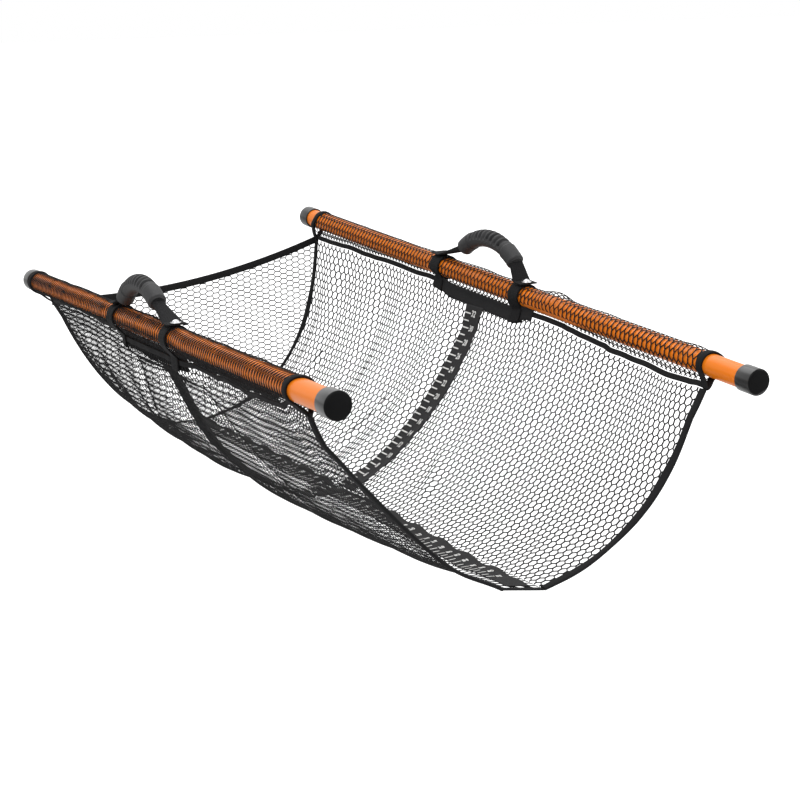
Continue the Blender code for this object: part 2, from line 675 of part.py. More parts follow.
def make_floor(surfaces):
    """The floor strip of netting between the hinge lines, its bindings and the measuring tapes on it."""
    length = NET_REAR - NET_FRONT - 2 * GAP
    name = "net_floor"

    def place(s, t):
        return t - FLOOR_WIDTH / 2, NET_FRONT + GAP + s, NET_THICKNESS / 2

    floor = add_piece(name, net_sheet(name, length, FLOOR_WIDTH, FLOOR_CELLS_LONG, 1, place), surfaces["net"])
    thicken(floor, NET_THICKNESS)
    for end, middle in (("front", NET_FRONT - BINDING_WIDTH / 2), ("rear", NET_REAR + BINDING_WIDTH / 2)):
        box_piece(f"binding_{end}_floor", (FLOOR_WIDTH, BINDING_WIDTH, NET_THICKNESS),
                  (0.0, middle, NET_THICKNESS / 2), surfaces["binding"])
    low = NET_THICKNESS + GAP + RULER_THICKNESS / 2
    box_piece("ruler_length", (LENGTH_RULER_WIDTH, length, RULER_THICKNESS),
              (LENGTH_RULER_SHIFT, (NET_FRONT + NET_REAR) / 2, low), surfaces["tape"])
    name = "ruler_cross_middle"
    reach = FLOOR_WIDTH / 2 - RULER_STEP_BACK
    middle = (LEFT_HANDLE_Y + RIGHT_HANDLE_Y) / 2
    rows = []
    for x, y in ((-reach, LEFT_HANDLE_Y - middle), (reach, RIGHT_HANDLE_Y - middle)):
        rows.append([(x, y - CROSS_RULER_WIDTH / 2, 0.0), (x, y + CROSS_RULER_WIDTH / 2, 0.0)])
    place = Matrix.Translation((0.0, middle, low + RULER_THICKNESS + GAP))
    thicken(add_piece(name, grid_mesh(name, rows), surfaces["tape"], None, place), RULER_THICKNESS)


def end_band_height(x, ends):
    """The height of the end wall's upper edge at x: a slack line between its two ends."""
    left, right = ends
    share = (x - left.x) / (right.x - left.x)
    return lerp(left.z, right.z, share) - 4 * END_BAND_SAG * share * (1 - share)


def inside(outline, x, z):
    """Whether the point lies inside the outline."""
    found = False
    for (ax, az), (bx, bz) in zip(outline, outline[1:] + outline[:1]):
        if (az > z) != (bz > z) and x < ax + (z - az) / (bz - az) * (bx - ax):
            found = not found
    return found


def diamond(x, z, half_x, half_z):
    """The four corners of a diamond about a point."""
    return [(x + half_x, z), (x, z + half_z), (x - half_x, z), (x, z - half_z)]


def make_end_wall(surfaces):
    """The net wall that closes the rear, in two halves, and the slack band along its upper edge."""
    y = NET_REAR + BINDING_WIDTH + GAP
    wall_y = y + NET_THICKNESS / 2
    band_y = y + BINDING_THICKNESS / 2
    ends = [side.seam_point(NET_REAR, NET_TOP - END_BAND_WIDTH / 2) for side in (LEFT, RIGHT)]
    upright = Matrix.Rotation(math.radians(90), 4, "X")
    for side in (LEFT, RIGHT):
        middle = side.sign * GAP / 2
        profile = [(p.x, p.z) for p in side.net_profile(NET_REAR)[0]]
        corner_x = profile[-1][0] - side.sign * 2 * GAP
        xs = [lerp(middle, corner_x, step / PROFILE_STEPS) for step in range(PROFILE_STEPS + 1)]
        upper = [(x, end_band_height(x, ends)) for x in xs]
        lower = [(middle, HINGE_Z)] + profile[:-1]
        outline = lower + [(x, z - END_BAND_WIDTH - GAP) for x, z in reversed(upper)]
        outlines = [outline]
        half = END_WALL_CELL / 2 - NET_STRAND / 2
        margin = half + END_WALL_MARGIN
        for row in range(2 * int(ends[1].z / END_WALL_CELL) + 2):
            for column in range(int(REAR_SPREAD / END_WALL_CELL) + 1):
                x = side.sign * (column + 0.5 + 0.5 * (row % 2)) * END_WALL_CELL
                z = END_WALL_FIRST + row * END_WALL_CELL / 2
                if all(inside(outline, *point) for point in diamond(x, z, margin, margin)):
                    outlines.append(diamond(x, z, half, half))
        flat_piece(f"net_end_{side.name}", outlines, NET_THICKNESS, surfaces["net"], None,
                   Matrix.Translation((0.0, wall_y, 0.0)) @ upright)
        band = [(x, z - END_BAND_WIDTH) for x, z in upper] + upper[::-1]
        flat_piece(f"end_band_{side.name}", [band], BINDING_THICKNESS, surfaces["binding"], None,
                   Matrix.Translation((0.0, band_y, 0.0)) @ upright)


def make_side(side, surfaces):
    """Everything that turns with one side, hung on its fold axis at the floor's edge."""
    fold = Matrix.Translation((side.sign * HINGE_X, 0.0, HINGE_Z))
    fold_axis = empty(f"{side.name}_fold_axis", None, fold)
    pole_axis = empty(f"{side.name}_pole_axis", fold_axis, fold.inverted() @ side.pole_matrix())
    handle_axis = empty(f"{side.name}_handle_axis", pole_axis, Matrix.Translation((0.0, side.handle_y, 0.0)))
    bpy.context.view_layer.update()
    make_pole(side, surfaces, pole_axis)
    make_sleeve(side, surfaces, pole_axis)
    make_patch_and_loops(side, surfaces, handle_axis)
    make_side_net(side, surfaces, fold_axis)
    make_handle(side, surfaces, handle_axis)


def main():
    """Builds the whole cradle."""
    for old in list(bpy.data.objects):
        bpy.data.objects.remove(old, do_unlink=True)
    fresh_collection(PARTS)
    fresh_collection(CUTTERS)
    surfaces = {
        "tube": material("orange_tube", (0.90, 0.30, 0.04), 0.35),
        "rubber": material("cap_rubber", (0.03, 0.03, 0.03), 0.45),
        "foam": material("float_foam", (0.85, 0.85, 0.82), 0.9),
        "net": material("black_netting", (0.02, 0.02, 0.02), 0.7),
        "binding": material("binding_tape", (0.03, 0.03, 0.03), 0.8),
        "patch": material("patch_fabric", (0.03, 0.03, 0.03), 0.8),
        "webbing": material("black_webbing", (0.025, 0.025, 0.025), 0.75),
        "tape": material("measuring_tape", (0.05, 0.05, 0.05), 0.7),
        "grip": material("grip_rubber", (0.06, 0.06, 0.06), 0.6),
        "steel": material("bright_steel", (0.75, 0.75, 0.76), 0.2, 1.0),
    }
    make_floor(surfaces)
    make_end_wall(surfaces)
    for side in (LEFT, RIGHT):
        make_side(side, surfaces)


main()
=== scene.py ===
"""The looks of a floating carp cradle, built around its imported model.

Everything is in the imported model's frame, in metres: +Y runs along the poles to the closed end, +X points to
the right-hand pole and +Z up. Each class builds and dresses one sub-assembly.
"""

import json
import logging
import math
from bisect import bisect_left
from collections.abc import Callable, Sequence
from dataclasses import dataclass
from enum import Enum
from functools import lru_cache

import bmesh
import bpy
from mathutils import Matrix, Vector, noise

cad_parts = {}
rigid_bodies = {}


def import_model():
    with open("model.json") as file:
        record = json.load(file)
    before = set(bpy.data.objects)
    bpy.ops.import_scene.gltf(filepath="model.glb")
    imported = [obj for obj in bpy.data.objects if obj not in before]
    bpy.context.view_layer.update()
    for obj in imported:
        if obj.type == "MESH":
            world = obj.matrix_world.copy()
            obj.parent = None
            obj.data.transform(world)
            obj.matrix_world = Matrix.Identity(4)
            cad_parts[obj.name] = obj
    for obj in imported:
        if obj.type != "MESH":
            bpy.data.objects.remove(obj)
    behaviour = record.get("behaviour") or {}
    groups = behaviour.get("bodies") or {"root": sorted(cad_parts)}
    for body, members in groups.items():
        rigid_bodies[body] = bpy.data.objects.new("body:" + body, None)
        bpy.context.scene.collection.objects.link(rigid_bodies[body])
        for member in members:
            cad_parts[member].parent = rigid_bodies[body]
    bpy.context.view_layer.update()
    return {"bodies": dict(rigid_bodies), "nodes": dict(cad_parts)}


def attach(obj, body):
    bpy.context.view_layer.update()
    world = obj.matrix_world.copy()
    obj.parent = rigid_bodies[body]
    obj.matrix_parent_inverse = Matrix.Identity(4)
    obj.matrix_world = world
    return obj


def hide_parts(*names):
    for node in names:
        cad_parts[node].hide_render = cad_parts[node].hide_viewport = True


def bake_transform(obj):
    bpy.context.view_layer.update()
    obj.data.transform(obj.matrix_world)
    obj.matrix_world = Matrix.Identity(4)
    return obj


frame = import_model()

LOG = logging.getLogger("carp_cradle")

Pair = tuple[float, float]
Place = Callable[[float, float], Vector]

# Poles
POLE_LENGTH = 1.086
FRONT_SPREAD = 0.4935
REAR_SPREAD = 0.437
TUBE_DIAMETER = 0.026
CAP_LENGTH = 0.024
FRONT_BARE = 0.0515
REAR_BARE = 0.007

# Sleeves and the seam under each
MOUTH_WIDTH = 0.008
SLEEVE_TIP = 0.0232
SEAM_START = 0.0241
NET_TOP = 0.0318
NET_STRAIGHT = 0.030
SLEEVE_FRONT = -POLE_LENGTH / 2 + CAP_LENGTH + FRONT_BARE + MOUTH_WIDTH
SLEEVE_REAR = POLE_LENGTH / 2 - CAP_LENGTH - REAR_BARE - MOUTH_WIDTH
SLEEVE_LENGTH = SLEEVE_REAR - SLEEVE_FRONT

# Trough
FLOOR_WIDTH = 0.050
HINGE_GAP = 0.0005
FLOOR_EDGE = FLOOR_WIDTH / 2 + 2 * HINGE_GAP
BINDING_WIDTH = 0.007
BINDING_THICKNESS = 0.0024
NET_THICKNESS = 0.0008
NET_LIFT = 0.00075
NET_STRETCH = 2.0
TAPE_THICKNESS = 0.0008
TAPE_LIFT = 0.0025
PRINT_THICKNESS = 0.0002
CROSS_RULER_WIDTH = 0.043
LENGTH_RULER_WIDTH = 0.030
LENGTH_RULER_SHIFT = 0.004
PROFILE_STEPS = 30
EDGE_STEPS = 60
SEWN_FADE = 0.05

# Handles
LOOP_SPACING = 0.200
LOOP_WIDTH = 0.022
LOOP_RADIUS = 0.0158
INNER_TAIL_OUT = 0.0035
OUTER_TAIL_OUT = 0.0019
PATCH_LOW = 0.036
PAD_HEIGHT = 0.0177
STRAP_PAD_FRONT = 0.014
STRAP_PAD_BACK = 0.004
GRIP_CHORD = 0.128
GRIP_RISE = 0.0215

# Directions, the ends' words and signs, the distance at which points weld, and a colour
X = Vector((1.0, 0.0, 0.0))
Y = Vector((0.0, 1.0, 0.0))
ENDS = (("front", -1), ("rear", 1))
WELD = 1e-6
WHITE = (1.0, 1.0, 1.0, 1.0)


def lerp(a: float, b: float, t: float) -> float:
    """The value at share t of the way from a to b."""
    return a + (b - a) * t


def ease(t: float) -> float:
    """A share from 0 to 1 that starts and ends gently."""
    t = min(max(t, 0.0), 1.0)
    return t * t * (3.0 - 2.0 * t)


@dataclass(frozen=True)
class Fade:
    """A share that grows gently from 0 at a start to 1 a width further on, which may be lower."""

    start: float
    width: float

    def at(self, value: float) -> float:
        """The share at a value."""
        return ease((value - self.start) / self.width)


# Where the seam hangs freely, by the distance down from the pole's axis, and where the patch stiffens it
SEAM_LOOSE = Fade(0.004, 0.020)
NET_LOOSE = Fade(0.045, 0.015)
PATCH_NEAR = Fade(0.165, -0.07)
PATCH_BELOW = Fade(0.038, 0.024)

# Where the side's netting is free of the floor, and what of its front end is drawn up or back
FLOOR_FREE = Fade(0.0, 0.04)
FLOOR_NEAR = Fade(0.08, -0.08)
FRONT_SLACK = 0.3
CORNER_DRAWN = Fade(0.82, 0.16)
FLOOR_DRAWN = Fade(-0.33, -0.13)
FLOOR_DRAWN_UP = 0.0067
FLOOR_DRAWN_SLOPE = 0.16


def through(points: Sequence[Pair], at: float) -> float:
    """The value at a place of a smooth curve through (place, value) points in rising order."""
    index = min(max(bisect_left(points, (at, 0.0)), 1), len(points) - 1)
    (before, first), (after, last) = points[index - 1], points[index]
    return lerp(first, last, ease((at - before) / (after - before)))


def ripple(along: float, length: float, seed: float) -> float:
    """A smooth wandering value from about -1 to 1, with bumps of about the given length."""
    return 1.6 * noise.noise(Vector((along / length, seed, 0.37 * seed)))


def sampled(steps: int, point: Callable[[float], Vector]) -> list[Vector]:
    """The points at even shares from 0 to 1."""
    return [point(step / steps) for step in range(steps + 1)]


def rounded_section(share: float, wide: float, deep: float) -> Pair:
    """A point at a share round a section with soft corners, which are sharper for lower powers."""
    cosine, sine = math.cos(math.tau * share), math.sin(math.tau * share)
    return math.copysign(abs(cosine) ** wide, cosine), math.copysign(abs(sine) ** deep, sine)


class Slot(Enum):
    """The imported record's material slots."""

    TUBE = "orange_tube"
    CAP = "cap_rubber"
    FOAM = "float_foam"
    NETTING = "black_netting"
    BINDING = "binding_tape"
    PATCH = "patch_fabric"
    WEBBING = "black_webbing"
    RULER = "measuring_tape"
    GRIP = "grip_rubber"
    STEEL = "bright_steel"


class Signal:
    """A shader value that Python's operators work on: each one adds its Math node."""

    def __init__(self, nodes: "Nodes", socket: bpy.types.NodeSocket) -> None:
        """Wraps an output socket of a node tree."""
        self.nodes = nodes
        self.socket = socket

    def combine(self, operation: str, first: "Signal | float", second: "Signal | float" = 0.0) -> "Signal":
        """The result of a Math node on two values."""
        return self.nodes.node("ShaderNodeMath", {"operation": operation}, {0: first, 1: second})

    def __add__(self, other: "Signal | float") -> "Signal":
        """The sum."""
        return self.combine("ADD", self, other)

    def __sub__(self, other: "Signal | float") -> "Signal":
        """The difference."""
        return self.combine("SUBTRACT", self, other)

    def __rsub__(self, other: float) -> "Signal":
        """The difference from a number."""
        return self.combine("SUBTRACT", other, self)

    def __mul__(self, other: "Signal | float") -> "Signal":
        """The product."""
        return self.combine("MULTIPLY", self, other)

    __radd__ = __add__
    __rmul__ = __mul__

    def over(self, edge: float) -> "Signal":
        """1 where the value is greater than the edge, else 0."""
        return self.combine("GREATER_THAN", self, edge)


class Nodes:
    """A node tree under construction."""

    def __init__(self, tree: bpy.types.NodeTree) -> None:
        """Works on that tree."""
        self.tree = tree

    def link(self, value: "Signal | float | tuple", target: bpy.types.NodeSocket) -> None:
        """Sets a socket to a value, or links it to a signal."""
        if isinstance(value, Signal):
            self.tree.links.new(value.socket, target)
        else:
            target.default_value = value

    def node(self, kind: str, settings: dict | None = None, inputs: dict | None = None,
             output: int | str = 0) -> Signal:
        """Adds a node.

        Args:
            kind: The node's type.
            settings: Its properties, set first; "stops" holds a colour ramp's (place, colour) pairs.
            inputs: Values or signals for its sockets, by name or number.
            output: Which output to return.

        Returns:
            The chosen output as a signal.
        """
        made = self.tree.nodes.new(kind)
        for key, value in (settings or {}).items():
            if key == "stops":
                for element, (place, colour) in zip(made.color_ramp.elements, value):
                    element.position = place
                    element.color = (*colour, 1.0)
            else:
                setattr(made, key, value)
        for key, value in (inputs or {}).items():
            self.link(value, made.inputs[key])
        return Signal(self, made.outputs[output])


class Paint(Nodes):
    """A material under construction, round its Principled shader."""

    def __init__(self, name: str) -> None:
        """Starts a material with that name."""
        self.material = bpy.data.materials.new(name)
        self.material.use_nodes = True
        super().__init__(self.material.node_tree)
        self.shader = self.tree.nodes["Principled BSDF"]

    def mix(self, share: "Signal | float", first: tuple, second: tuple) -> Signal:
        """A colour that goes from the first to the second as the share goes from 0 to 1."""
        inputs = {0: share, 6: (*first, 1.0), 7: (*second, 1.0)}
        return self.node("ShaderNodeMix", {"data_type": "RGBA"}, inputs, 2)

    def place(self, scale: tuple[float, float, float] = (1.0, 1.0, 1.0)) -> Signal:
        """Object coordinates, stretched by a scale."""
        where = self.node("ShaderNodeTexCoord", output="Object")
        return self.node("ShaderNodeMapping", {}, {"Vector": where, "Scale": scale})

    def flat_place(self) -> Signal:
        """The piece's own UV map, in metres."""
        return self.node("ShaderNodeUVMap", {"uv_map": "cloth"})

    def cloudy(self, scale: float, where: Signal | None = None, detail: float = 3.0) -> Signal:
        """Noise from 0 to 1 with the given number of blobs to the metre."""
        inputs = {"Vector": where or self.place(), "Scale": scale, "Detail": detail}
        return self.node("ShaderNodeTexNoise", {}, inputs)

    def bump(self, height: Signal, depth: float, strength: float = 1.0) -> None:
        """Raises the surface by a height signal times a depth in metres."""
        made = self.node("ShaderNodeBump", {}, {"Height": height, "Distance": depth, "Strength": strength})
        self.link(made, self.shader.inputs["Normal"])

    def set(self, **values: "Signal | float | tuple") -> None:
        """Sets the shader's sockets, named with _ for a space."""
        for key, value in values.items():
            words = key.replace("_", " ")
            if isinstance(value, tuple):
                value = (*value, 1.0)
            self.link(value, self.shader.inputs[words])


@dataclass(frozen=True)
class Finish:
    """A finish for one of the record's slots: it makes its material once and hands out the same one."""

    name: str
    slot: Slot

    @lru_cache(maxsize=None)
    def material(self) -> bpy.types.Material:
        """The finish's material."""
        paint = Paint(self.name)
        self.dress(paint)
        return paint.material

    def dress(self, paint: Paint) -> None:
        """Builds the material's nodes."""
        raise NotImplementedError


@dataclass(frozen=True)
class CoatedTube(Finish):
    """A smooth lacquered tube with faint rub marks along it."""

    colour: tuple[float, float, float] = (0.90, 0.205, 0.006)
    worn: tuple[float, float, float] = (0.93, 0.25, 0.014)

    def dress(self, paint: Paint) -> None:
        """Builds the lacquer's nodes."""
        patches = paint.cloudy(14.0)
        rubs = paint.cloudy(55.0, paint.place((1.0, 0.12, 1.0)), 5.0)
        paint.set(Base_Color=paint.mix(patches * 0.6, self.colour, self.worn), Roughness=0.22 + rubs * 0.16,
                  Specular_IOR_Level=0.25, Coat_Weight=0.05, Coat_Roughness=0.12)
        paint.bump(rubs, 0.00004)


@dataclass(frozen=True)
class Moulded(Finish):
    """Moulded rubber or soft plastic with a fine grain."""

    colour: tuple[float, float, float]
    roughness: float
    grain: float
    depth: float
    gloss: float
    shine: float = 0.0
    shine_end: float = POLE_LENGTH / 2 - 0.0022

    def dress(self, paint: Paint) -> None:
        """Builds the moulding's nodes; a shine leaves out what lies past the poles' ends, the caps' faces."""
        grain = paint.cloudy(self.grain, detail=2.0)
        dust = paint.cloudy(35.0, detail=5.0)
        light = tuple(c * 1.5 + 0.003 for c in self.colour)
        paint.set(Base_Color=paint.mix(dust * dust * 1.4, self.colour, light),
                  Roughness=self.roughness + dust * 0.12, Specular_IOR_Level=self.gloss)
        paint.bump(grain, self.depth)
        if self.shine:
            along = paint.node("ShaderNodeSeparateXYZ", {}, {0: paint.place()}, "Y")
            face = along.combine("ABSOLUTE", along).over(self.shine_end)
            paint.set(Coat_Weight=self.shine - face * self.shine, Coat_Roughness=0.28)


@dataclass(frozen=True)
class Yarn(Finish):
    """Knotless netting yarn: near black, with a faint twist."""

    colour: tuple[float, float, float] = (0.006, 0.006, 0.0065)

    def dress(self, paint: Paint) -> None:
        """Builds the yarn's nodes."""
        twist = paint.cloudy(1400.0, detail=2.0)
        shade = paint.cloudy(30.0)
        light = tuple(c * 2.4 for c in self.colour)
        paint.set(Base_Color=paint.mix(shade * 0.8, self.colour, light), Roughness=0.5 + twist * 0.3,
                  Specular_IOR_Level=0.15)
        paint.bump(twist, 0.0002)


@dataclass(frozen=True)
class Woven(Finish):
    """Cloth tape or webbing, woven along its own flat shape."""

    colour: tuple[float, float, float]
    rib: float
    yarn: float
    depth: float

    def dress(self, paint: Paint) -> None:
        """Builds the weave's nodes."""
        where = paint.flat_place()
        waves = []
        for direction, pitch in (("X", self.yarn), ("Y", self.rib)):
            settings = {"wave_type": "BANDS", "bands_direction": direction, "wave_profile": "SIN"}
            inputs = {"Vector": where, "Scale": math.tau / 20.0 / pitch, "Distortion": 0.4, "Detail": 1.0}
            waves.append(paint.node("ShaderNodeTexWave", settings, inputs, 1))
        weave = waves[0] * 0.45 + waves[1] * 0.55
        wear = paint.cloudy(40.0, detail=6.0)
        fuzz = paint.cloudy(2500.0, detail=1.0)
        light = tuple(c * 2.2 + 0.002 for c in self.colour)
        paint.set(Base_Color=paint.mix(weave * 0.5 + wear * 0.4 - 0.1, self.colour, light),
                  Roughness=0.68 + fuzz * 0.2, Specular_IOR_Level=0.12)
        paint.bump(weave + fuzz * 0.25, self.depth)


@dataclass(frozen=True)
class Print(Finish):
    """White ink printed on cloth, with the weave showing through."""

    def dress(self, paint: Paint) -> None:
        """Builds the ink's nodes."""
        speckle = paint.cloudy(900.0, detail=3.0)
        paint.set(Base_Color=paint.mix(speckle * 0.7, (0.92, 0.92, 0.90), (0.75, 0.75, 0.74)),
                  Roughness=0.7 + speckle * 0.2)
        paint.bump(speckle, 0.00008)


@dataclass(frozen=True)
class Steel(Finish):
    """Polished steel with hairlines."""

    def dress(self, paint: Paint) -> None:
        """Builds the steel's nodes."""
        hair = paint.cloudy(600.0, paint.place((1.0, 0.1, 1.0)), 4.0)
        paint.set(Base_Color=paint.mix(hair * 0.5, (0.72, 0.72, 0.73), (0.60, 0.60, 0.61)), Metallic=1.0,
                  Roughness=0.16 + hair * 0.14)
        paint.bump(hair, 0.00002)


@dataclass(frozen=True)
class Foam(Finish):
    """Pale closed-cell foam."""

    def dress(self, paint: Paint) -> None:
        """Builds the foam's nodes."""
        cells = paint.node("ShaderNodeTexVoronoi", {}, {"Vector": paint.place(), "Scale": 700.0})
        paint.set(Base_Color=paint.mix(cells, (0.80, 0.80, 0.77), (0.68, 0.68, 0.65)),
                  Roughness=0.85 + cells * 0.1)
        paint.bump(cells, 0.0003)


TUBE = CoatedTube("orange lacquer", Slot.TUBE)
CAP = Moulded("cap rubber", Slot.CAP, (0.005, 0.005, 0.0053), roughness=0.34, grain=700.0, depth=0.00003,
              gloss=0.06, shine=1.0)
GRIP = Moulded("grip rubber", Slot.GRIP, (0.026, 0.026, 0.027), roughness=0.50, grain=1100.0, depth=0.00008,
               gloss=0.30)
YARN = Yarn("netting yarn", Slot.NETTING)
BINDING = Woven("binding cloth", Slot.BINDING, (0.009, 0.009, 0.0095), rib=0.0011, yarn=0.0008, depth=0.00012)
PATCH = Woven("patch cloth", Slot.PATCH, (0.013, 0.013, 0.0135), rib=0.0009, yarn=0.0009, depth=0.00008)
WEBBING = Woven("ribbed webbing", Slot.WEBBING, (0.008, 0.008, 0.0085), rib=0.0022, yarn=0.0011, depth=0.0003)
TAPE = Woven("tape cloth", Slot.RULER, (0.022, 0.022, 0.0225), rib=0.0008, yarn=0.0006, depth=0.00007)
PRINT = Print("white print", Slot.RULER)
STEEL = Steel("bright steel", Slot.STEEL)
FOAM = Foam("float foam", Slot.FOAM)


def add_object(name: str, data: bpy.types.ID) -> bpy.types.Object:
    """Puts an object with that data in the scene."""
    made = bpy.data.objects.new(name, data)
    bpy.context.scene.collection.objects.link(made)
    return made


def to_mesh(name: str, bm: bmesh.types.BMesh) -> bpy.types.Mesh:
    """Turns a bmesh into a mesh, and frees it."""
    mesh = bpy.data.meshes.new(name)
    bm.to_mesh(mesh)
    bm.free()
    return mesh


def geometry(bm: bmesh.types.BMesh) -> list[bmesh.types.BMVert | bmesh.types.BMEdge | bmesh.types.BMFace]:
    """Everything in the bmesh."""
    return bm.verts[:] + bm.edges[:] + bm.faces[:]


def cut(bm: bmesh.types.BMesh, point: Sequence[float], outward: Sequence[float]) -> None:
    """Cuts off what lies outside a plane through the point."""
    bmesh.ops.bisect_plane(bm, geom=geometry(bm), dist=1e-7, plane_co=point, plane_no=outward,
                           clear_outer=True)


def add_piece(name: str, bm: bmesh.types.BMesh, body: str, finish: Finish, replaces: Sequence[str] = (),
              wall: float = 0.0, sharp: float = 40.0) -> bpy.types.Object:
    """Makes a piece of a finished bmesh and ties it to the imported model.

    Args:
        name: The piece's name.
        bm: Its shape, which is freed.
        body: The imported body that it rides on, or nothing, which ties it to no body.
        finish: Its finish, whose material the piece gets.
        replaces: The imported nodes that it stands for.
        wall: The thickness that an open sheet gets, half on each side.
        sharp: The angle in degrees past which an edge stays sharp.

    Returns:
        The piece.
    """
    mesh = to_mesh(name, bm)
    mesh.materials.append(finish.material())
    mesh.shade_smooth()
    mesh.set_sharp_from_angle(angle=math.radians(sharp))
    piece = add_object(name, mesh)
    if wall:
        solid = piece.modifiers.new("wall", "SOLIDIFY")
        solid.thickness = wall
        solid.offset = 0.0
    if body:
        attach(piece, body)
    if replaces:
        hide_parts(*replaces)
    LOG.info("%s: %d faces", name, len(mesh.polygons))
    return piece


def cloth_mesh(size: Pair, steps: tuple[int, int], place: Place) -> bmesh.types.BMesh:
    """An open sheet, with its flat shape kept as a UV map.

    Args:
        size: The flat sheet's width and length in metres.
        steps: How many faces it has across and along.
        place: Where the point at share u of the width and share v of the length lies.

    Returns:
        The sheet as a bmesh.
    """
    bm = bmesh.new()
    bmesh.ops.create_grid(bm, x_segments=steps[0], y_segments=steps[1], size=0.5)
    keep_flat_shape(bm, size)
    for vert in bm.verts:
        vert.co = place(vert.co.x + 0.5, vert.co.y + 0.5)
    bmesh.ops.recalc_face_normals(bm, faces=bm.faces)
    return bm


def keep_flat_shape(bm: bmesh.types.BMesh, size: Pair) -> None:
    """Writes a unit grid's flat coordinates, in metres, to its UV map."""
    layer = bm.loops.layers.uv.new("cloth")
    for face in bm.faces:
        for loop in face.loops:
            loop[layer].uv = ((loop.vert.co.x + 0.5) * size[0], (loop.vert.co.y + 0.5) * size[1])


def rope_mesh(size: Pair, steps: tuple[int, int], place: Place) -> bmesh.types.BMesh:
    """A closed bar that is lofted round a section, with flat ends.

    Args:
        size: The length round the section and along the bar in metres.
        steps: How many faces it has round and along.
        place: Where the point at share u round and share v along lies.

    Returns:
        The bar as a bmesh.
    """
    bm = cloth_mesh(size, steps, place)
    bmesh.ops.remove_doubles(bm, verts=bm.verts, dist=WELD)
    bmesh.ops.holes_fill(bm, edges=bm.edges[:], sides=0)
    bmesh.ops.recalc_face_normals(bm, faces=bm.faces)
    return bm


def turned_mesh(profile: Sequence[Pair], steps: int, matrix: Matrix) -> bmesh.types.BMesh:
    """A shape turned about Z from (radius, height) points, then put in place."""
    bm = bmesh.new()
    verts = [bm.verts.new((radius, 0.0, height)) for radius, height in profile]
    edges = [bm.edges.new(pair) for pair in zip(verts, verts[1:])]
    bmesh.ops.spin(bm, geom=verts + edges, cent=(0, 0, 0), axis=(0, 0, 1), angle=math.tau, steps=steps,
                   use_merge=True)
    bmesh.ops.remove_doubles(bm, verts=bm.verts, dist=WELD)
    bmesh.ops.recalc_face_normals(bm, faces=bm.faces)
    bmesh.ops.transform(bm, matrix=matrix, verts=bm.verts)
    return bm


def rounded(profile: Sequence[Pair], corner: int, radius: float, steps: int) -> list[Pair]:
    """The profile with one of its right-angled corners rounded."""
    here = Vector(profile[corner])
    before = (Vector(profile[corner - 1]) - here).normalized() * radius
    after = (Vector(profile[corner + 1]) - here).normalized() * radius
    centre = here + before + after
    arc = []
    for step in range(steps + 1):
        angle = math.radians(90) * step / steps
        arc.append(tuple(centre - after * math.cos(angle) - before * math.sin(angle)))
    return [*profile[:corner], *arc, *profile[corner + 1:]]


def net_mesh(pitch: float, row: float, size: Pair, strand: float, place: Place, straight: float = 2 / 3,
             cuts: int = 0) -> bmesh.types.BMesh:
    """Netting with hexagonal holes, as an open sheet.

    The holes are cut in a net that is stretched along Y and then let go, which leaves thick strands along Y
    and thin ones across it.

    Args:
        pitch: The distance between holes along X of the flat net.
        row: The distance between rows of holes along Y.
        size: The flat net's extent.
        strand: The width of the thick strands.
        place: Where a point of the flat net lies.
        straight: The share of a row that the strands along Y take up; the slanted ones take the rest.
        cuts: How many times each side of a hole is cut, so that it can bend.

    Returns:
        The netting as a bmesh.
    """
    bm = bmesh.new()
    size = (size[0], size[1] * NET_STRETCH)
    row *= NET_STRETCH
    hole = Matrix.Diagonal((pitch / math.sqrt(3.0), row, 1.0, 1.0))
    bmesh.ops.create_circle(bm, cap_ends=True, segments=6, radius=1.0, matrix=hole)
    for vert in bm.verts:
        tip = abs(vert.co.y) > 0.75 * row
        vert.co.y = math.copysign(row * (1 - straight / 2 if tip else straight / 2), vert.co.y)
    if cuts:
        bmesh.ops.subdivide_edges(bm, edges=bm.edges[:], cuts=cuts)
    columns = math.ceil(size[0] / pitch) + 1
    repeat(bm, columns, (pitch, 0.0, 0.0))
    copied = bmesh.ops.duplicate(bm, geom=geometry(bm))["geom"]
    second = [item for item in copied if isinstance(item, bmesh.types.BMVert)]
    bmesh.ops.translate(bm, verts=second, vec=(pitch / 2, row, 0.0))
    repeat(bm, math.ceil(size[1] / row / 2), (0.0, 2 * row, 0.0))
    bmesh.ops.remove_doubles(bm, verts=bm.verts, dist=1e-5)
    ring = bmesh.ops.inset_individual(bm, faces=bm.faces[:], thickness=strand / 2, use_even_offset=True)
    strands = set(ring["faces"])
    holes = [face for face in bm.faces if face not in strands]
    bmesh.ops.delete(bm, geom=holes, context="FACES_ONLY")
    for edge, outward in (((0, 0, 0), (-1, 0, 0)), ((0, 0, 0), (0, -1, 0)),
                          ((size[0], 0, 0), (1, 0, 0)), ((0, size[1], 0), (0, 1, 0))):
        cut(bm, edge, outward)
    for vert in bm.verts:
        vert.co = place(vert.co.x, vert.co.y / NET_STRETCH)
    return bm


def repeat(bm: bmesh.types.BMesh, times: int, step: tuple[float, float, float]) -> None:
    """Repeats everything in the bmesh in a row."""
    bmesh.ops.spin(bm, geom=geometry(bm), angle=0.0, steps=times, use_duplicate=True, dvec=step,
                   axis=(0, 0, 1), cent=(0, 0, 0))


